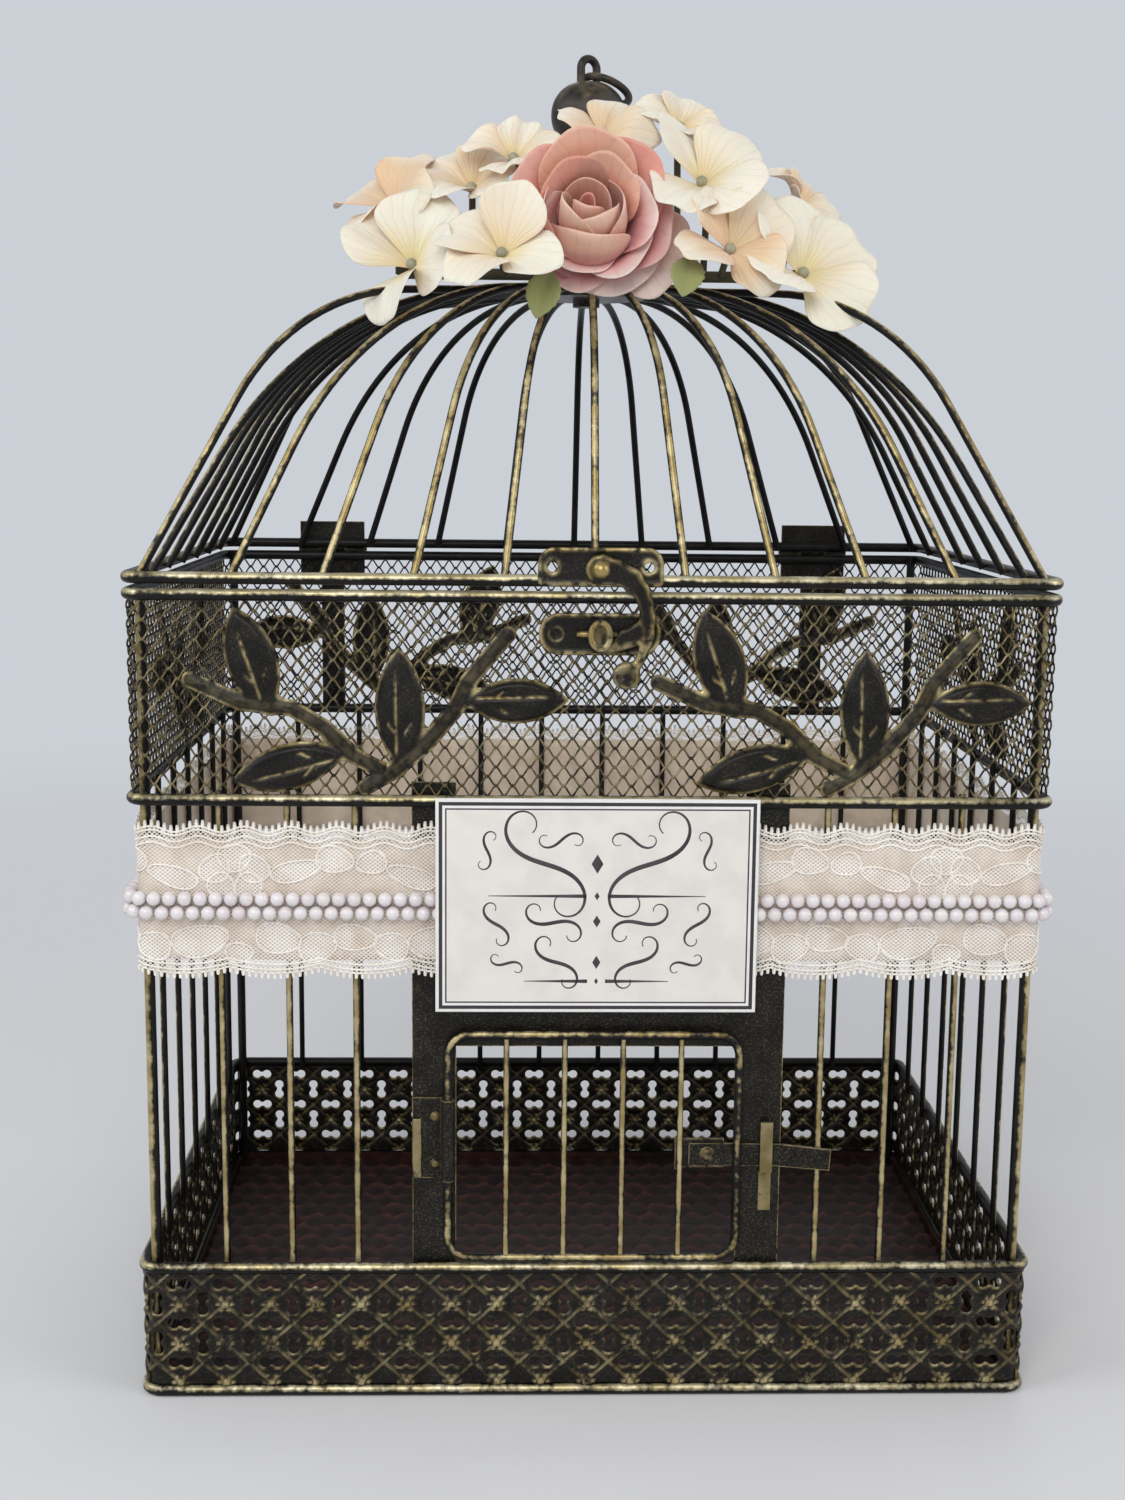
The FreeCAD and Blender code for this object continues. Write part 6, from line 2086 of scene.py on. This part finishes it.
@dataclass
class Studio:
    """Pale floor, soft lights and a camera at the photograph's place."""

    camera_place: Triple = (-27.743, -722.489, 327.831)
    pitch: float = 0.161534759
    yaw: float = -0.0284601
    roll: float = 0.0100785
    focal_px: float = 1882.9
    image_height_px: float = 1500.0
    sensor: float = 36.0
    clip_start: float = 0.01
    floor_half: float = 9.0
    floor_fade: Flat = (0.35, 1.5)
    # Lights: place in metres, size, power and colour
    lights: Tuple[Tuple[str, Triple, float, float, Colour], ...] = (
        ("front_light", (-0.25, -1.35, 1.05), 0.9, 11.0, (1.0, 0.97, 0.93)),
        ("left_light", (-1.5, -0.5, 1.3), 1.1, 10.0, (0.93, 0.97, 1.0)),
        ("right_light", (1.5, -0.7, 0.9), 1.0, 7.0, (1.0, 0.96, 0.92)),
        ("back_light", (0.3, 1.5, 1.5), 1.2, 6.0, (1.0, 1.0, 1.0)),
    )
    target: Triple = (0.0, 0.0, 0.2)
    sky: Colour = (0.86, 0.90, 0.97)
    sky_strength: float = 0.42
    backdrop: Colour = (0.60, 0.63, 0.68)
    floor_colour: Colour = (0.74, 0.74, 0.75)

    def build(self) -> None:
        """Make floor, lights, sky and camera."""
        self.build_floor()
        for name, place, size, power, colour in self.lights:
            lamp = bpy.data.lights.new(name, "AREA")
            lamp.size = size
            lamp.energy = power
            lamp.color = colour
            holder = self.link(name, lamp)
            holder.location = place
            holder.rotation_euler = (Vector(self.target) - Vector(place)).to_track_quat("-Z", "Y").to_euler()
        self.build_sky()
        bpy.context.scene.view_settings.view_transform = "Standard"
        self.build_camera()

    def link(self, name: str, data: bpy.types.ID) -> Thing:
        """Make an object of the given data and link it to the scene.

        Args:
            name: Its name.
            data: Mesh, lamp or lens.

        Returns:
            The object.
        """
        made = bpy.data.objects.new(name, data)
        bpy.context.scene.collection.objects.link(made)
        return made

    def build_sky(self) -> None:
        """Make the soft sky, and the pale backdrop that shows behind the object."""
        world = bpy.data.worlds.new("soft_sky")
        world.use_nodes = True
        sketch = Sketch(world.node_tree)
        sky = world.node_tree.nodes["Background"]
        sketch.fill(sky, Color=self.sky, Strength=self.sky_strength)
        backdrop = sketch.node("Background", Color=self.backdrop)
        seen = sketch.node("LightPath").outputs["Is Camera Ray"]
        pick = sketch.node("MixShader", None, seen, sky.outputs[0], backdrop.outputs[0])
        sketch.fill(world.node_tree.nodes["World Output"], Surface=pick.outputs[0])
        bpy.context.scene.world = world

    def build_floor(self) -> None:
        """Make the floor, which fades into the backdrop."""
        made, sketch, shader = start_material("pale_floor", Roughness=0.7, Specular_IOR_Level=0.0,
                                              Emission_Strength=1.0)
        lighter = tuple(c * 1.04 for c in self.floor_colour)
        near = sketch.mix(sketch.noise(3.0), self.floor_colour, lighter)
        far = sketch.measure("LENGTH", sketch.spot()).span(*self.floor_fade)
        sketch.fill(shader, Base_Color=sketch.mix(far, near, BLACK))
        sketch.fill(shader, Emission_Color=sketch.mix(far, BLACK, self.backdrop))
        half = self.floor_half
        corners = [(-half, -half, 0), (half, -half, 0), (half, half, 0), (-half, half, 0)]
        mesh = bpy.data.meshes.new("pale_floor")
        mesh.from_pydata(corners, [], [(0, 1, 2, 3)])
        mesh.materials.append(made)
        self.link("pale_floor", mesh)

    def build_camera(self) -> None:
        """Make the camera."""
        right = Vector((math.cos(self.yaw), math.sin(self.yaw), 0))
        ahead = Matrix.Rotation(self.yaw, 3, "Z") @ Vector((0, math.cos(self.pitch), -math.sin(self.pitch)))
        above = right.cross(ahead)
        tilted_right = math.cos(self.roll) * right + math.sin(self.roll) * above
        tilted_up = math.cos(self.roll) * above - math.sin(self.roll) * right
        lens = bpy.data.cameras.new("photo_camera")
        lens.sensor_width = self.sensor
        lens.lens = self.focal_px / self.image_height_px * self.sensor
        lens.clip_start = self.clip_start
        camera = self.link("photo_camera", lens)
        turn = Matrix((tilted_right, tilted_up, -ahead)).transposed().to_4x4()
        camera.matrix_world = Matrix.Translation(Vector(self.camera_place) * MM) @ turn
        bpy.context.scene.camera = camera


def main() -> None:
    """Build and dress every sub-assembly in order."""
    logging.basicConfig(level=logging.INFO, format="%(name)s: %(message)s")
    plan = CagePlan.from_frame()
    palette = Palette(SharedEffects(plan))
    Studio().build()
    for kind in (WireCage, StampedBand, WovenBand, LeafSprigs, FloorSheet, FrontDoor, LidClasp, LidHinges,
                 LaceTrim, SignCard, SilkRose):
        kind(plan, palette).build()
    HydrangeaGroup(plan, palette, "hydrangea_left", HYDRANGEA_LEFT, 5).build()
    HydrangeaGroup(plan, palette, "hydrangea_right", HYDRANGEA_RIGHT, 8).build()
    GreenLeaves(plan, palette).build()


if __name__ == "__main__":
    main()
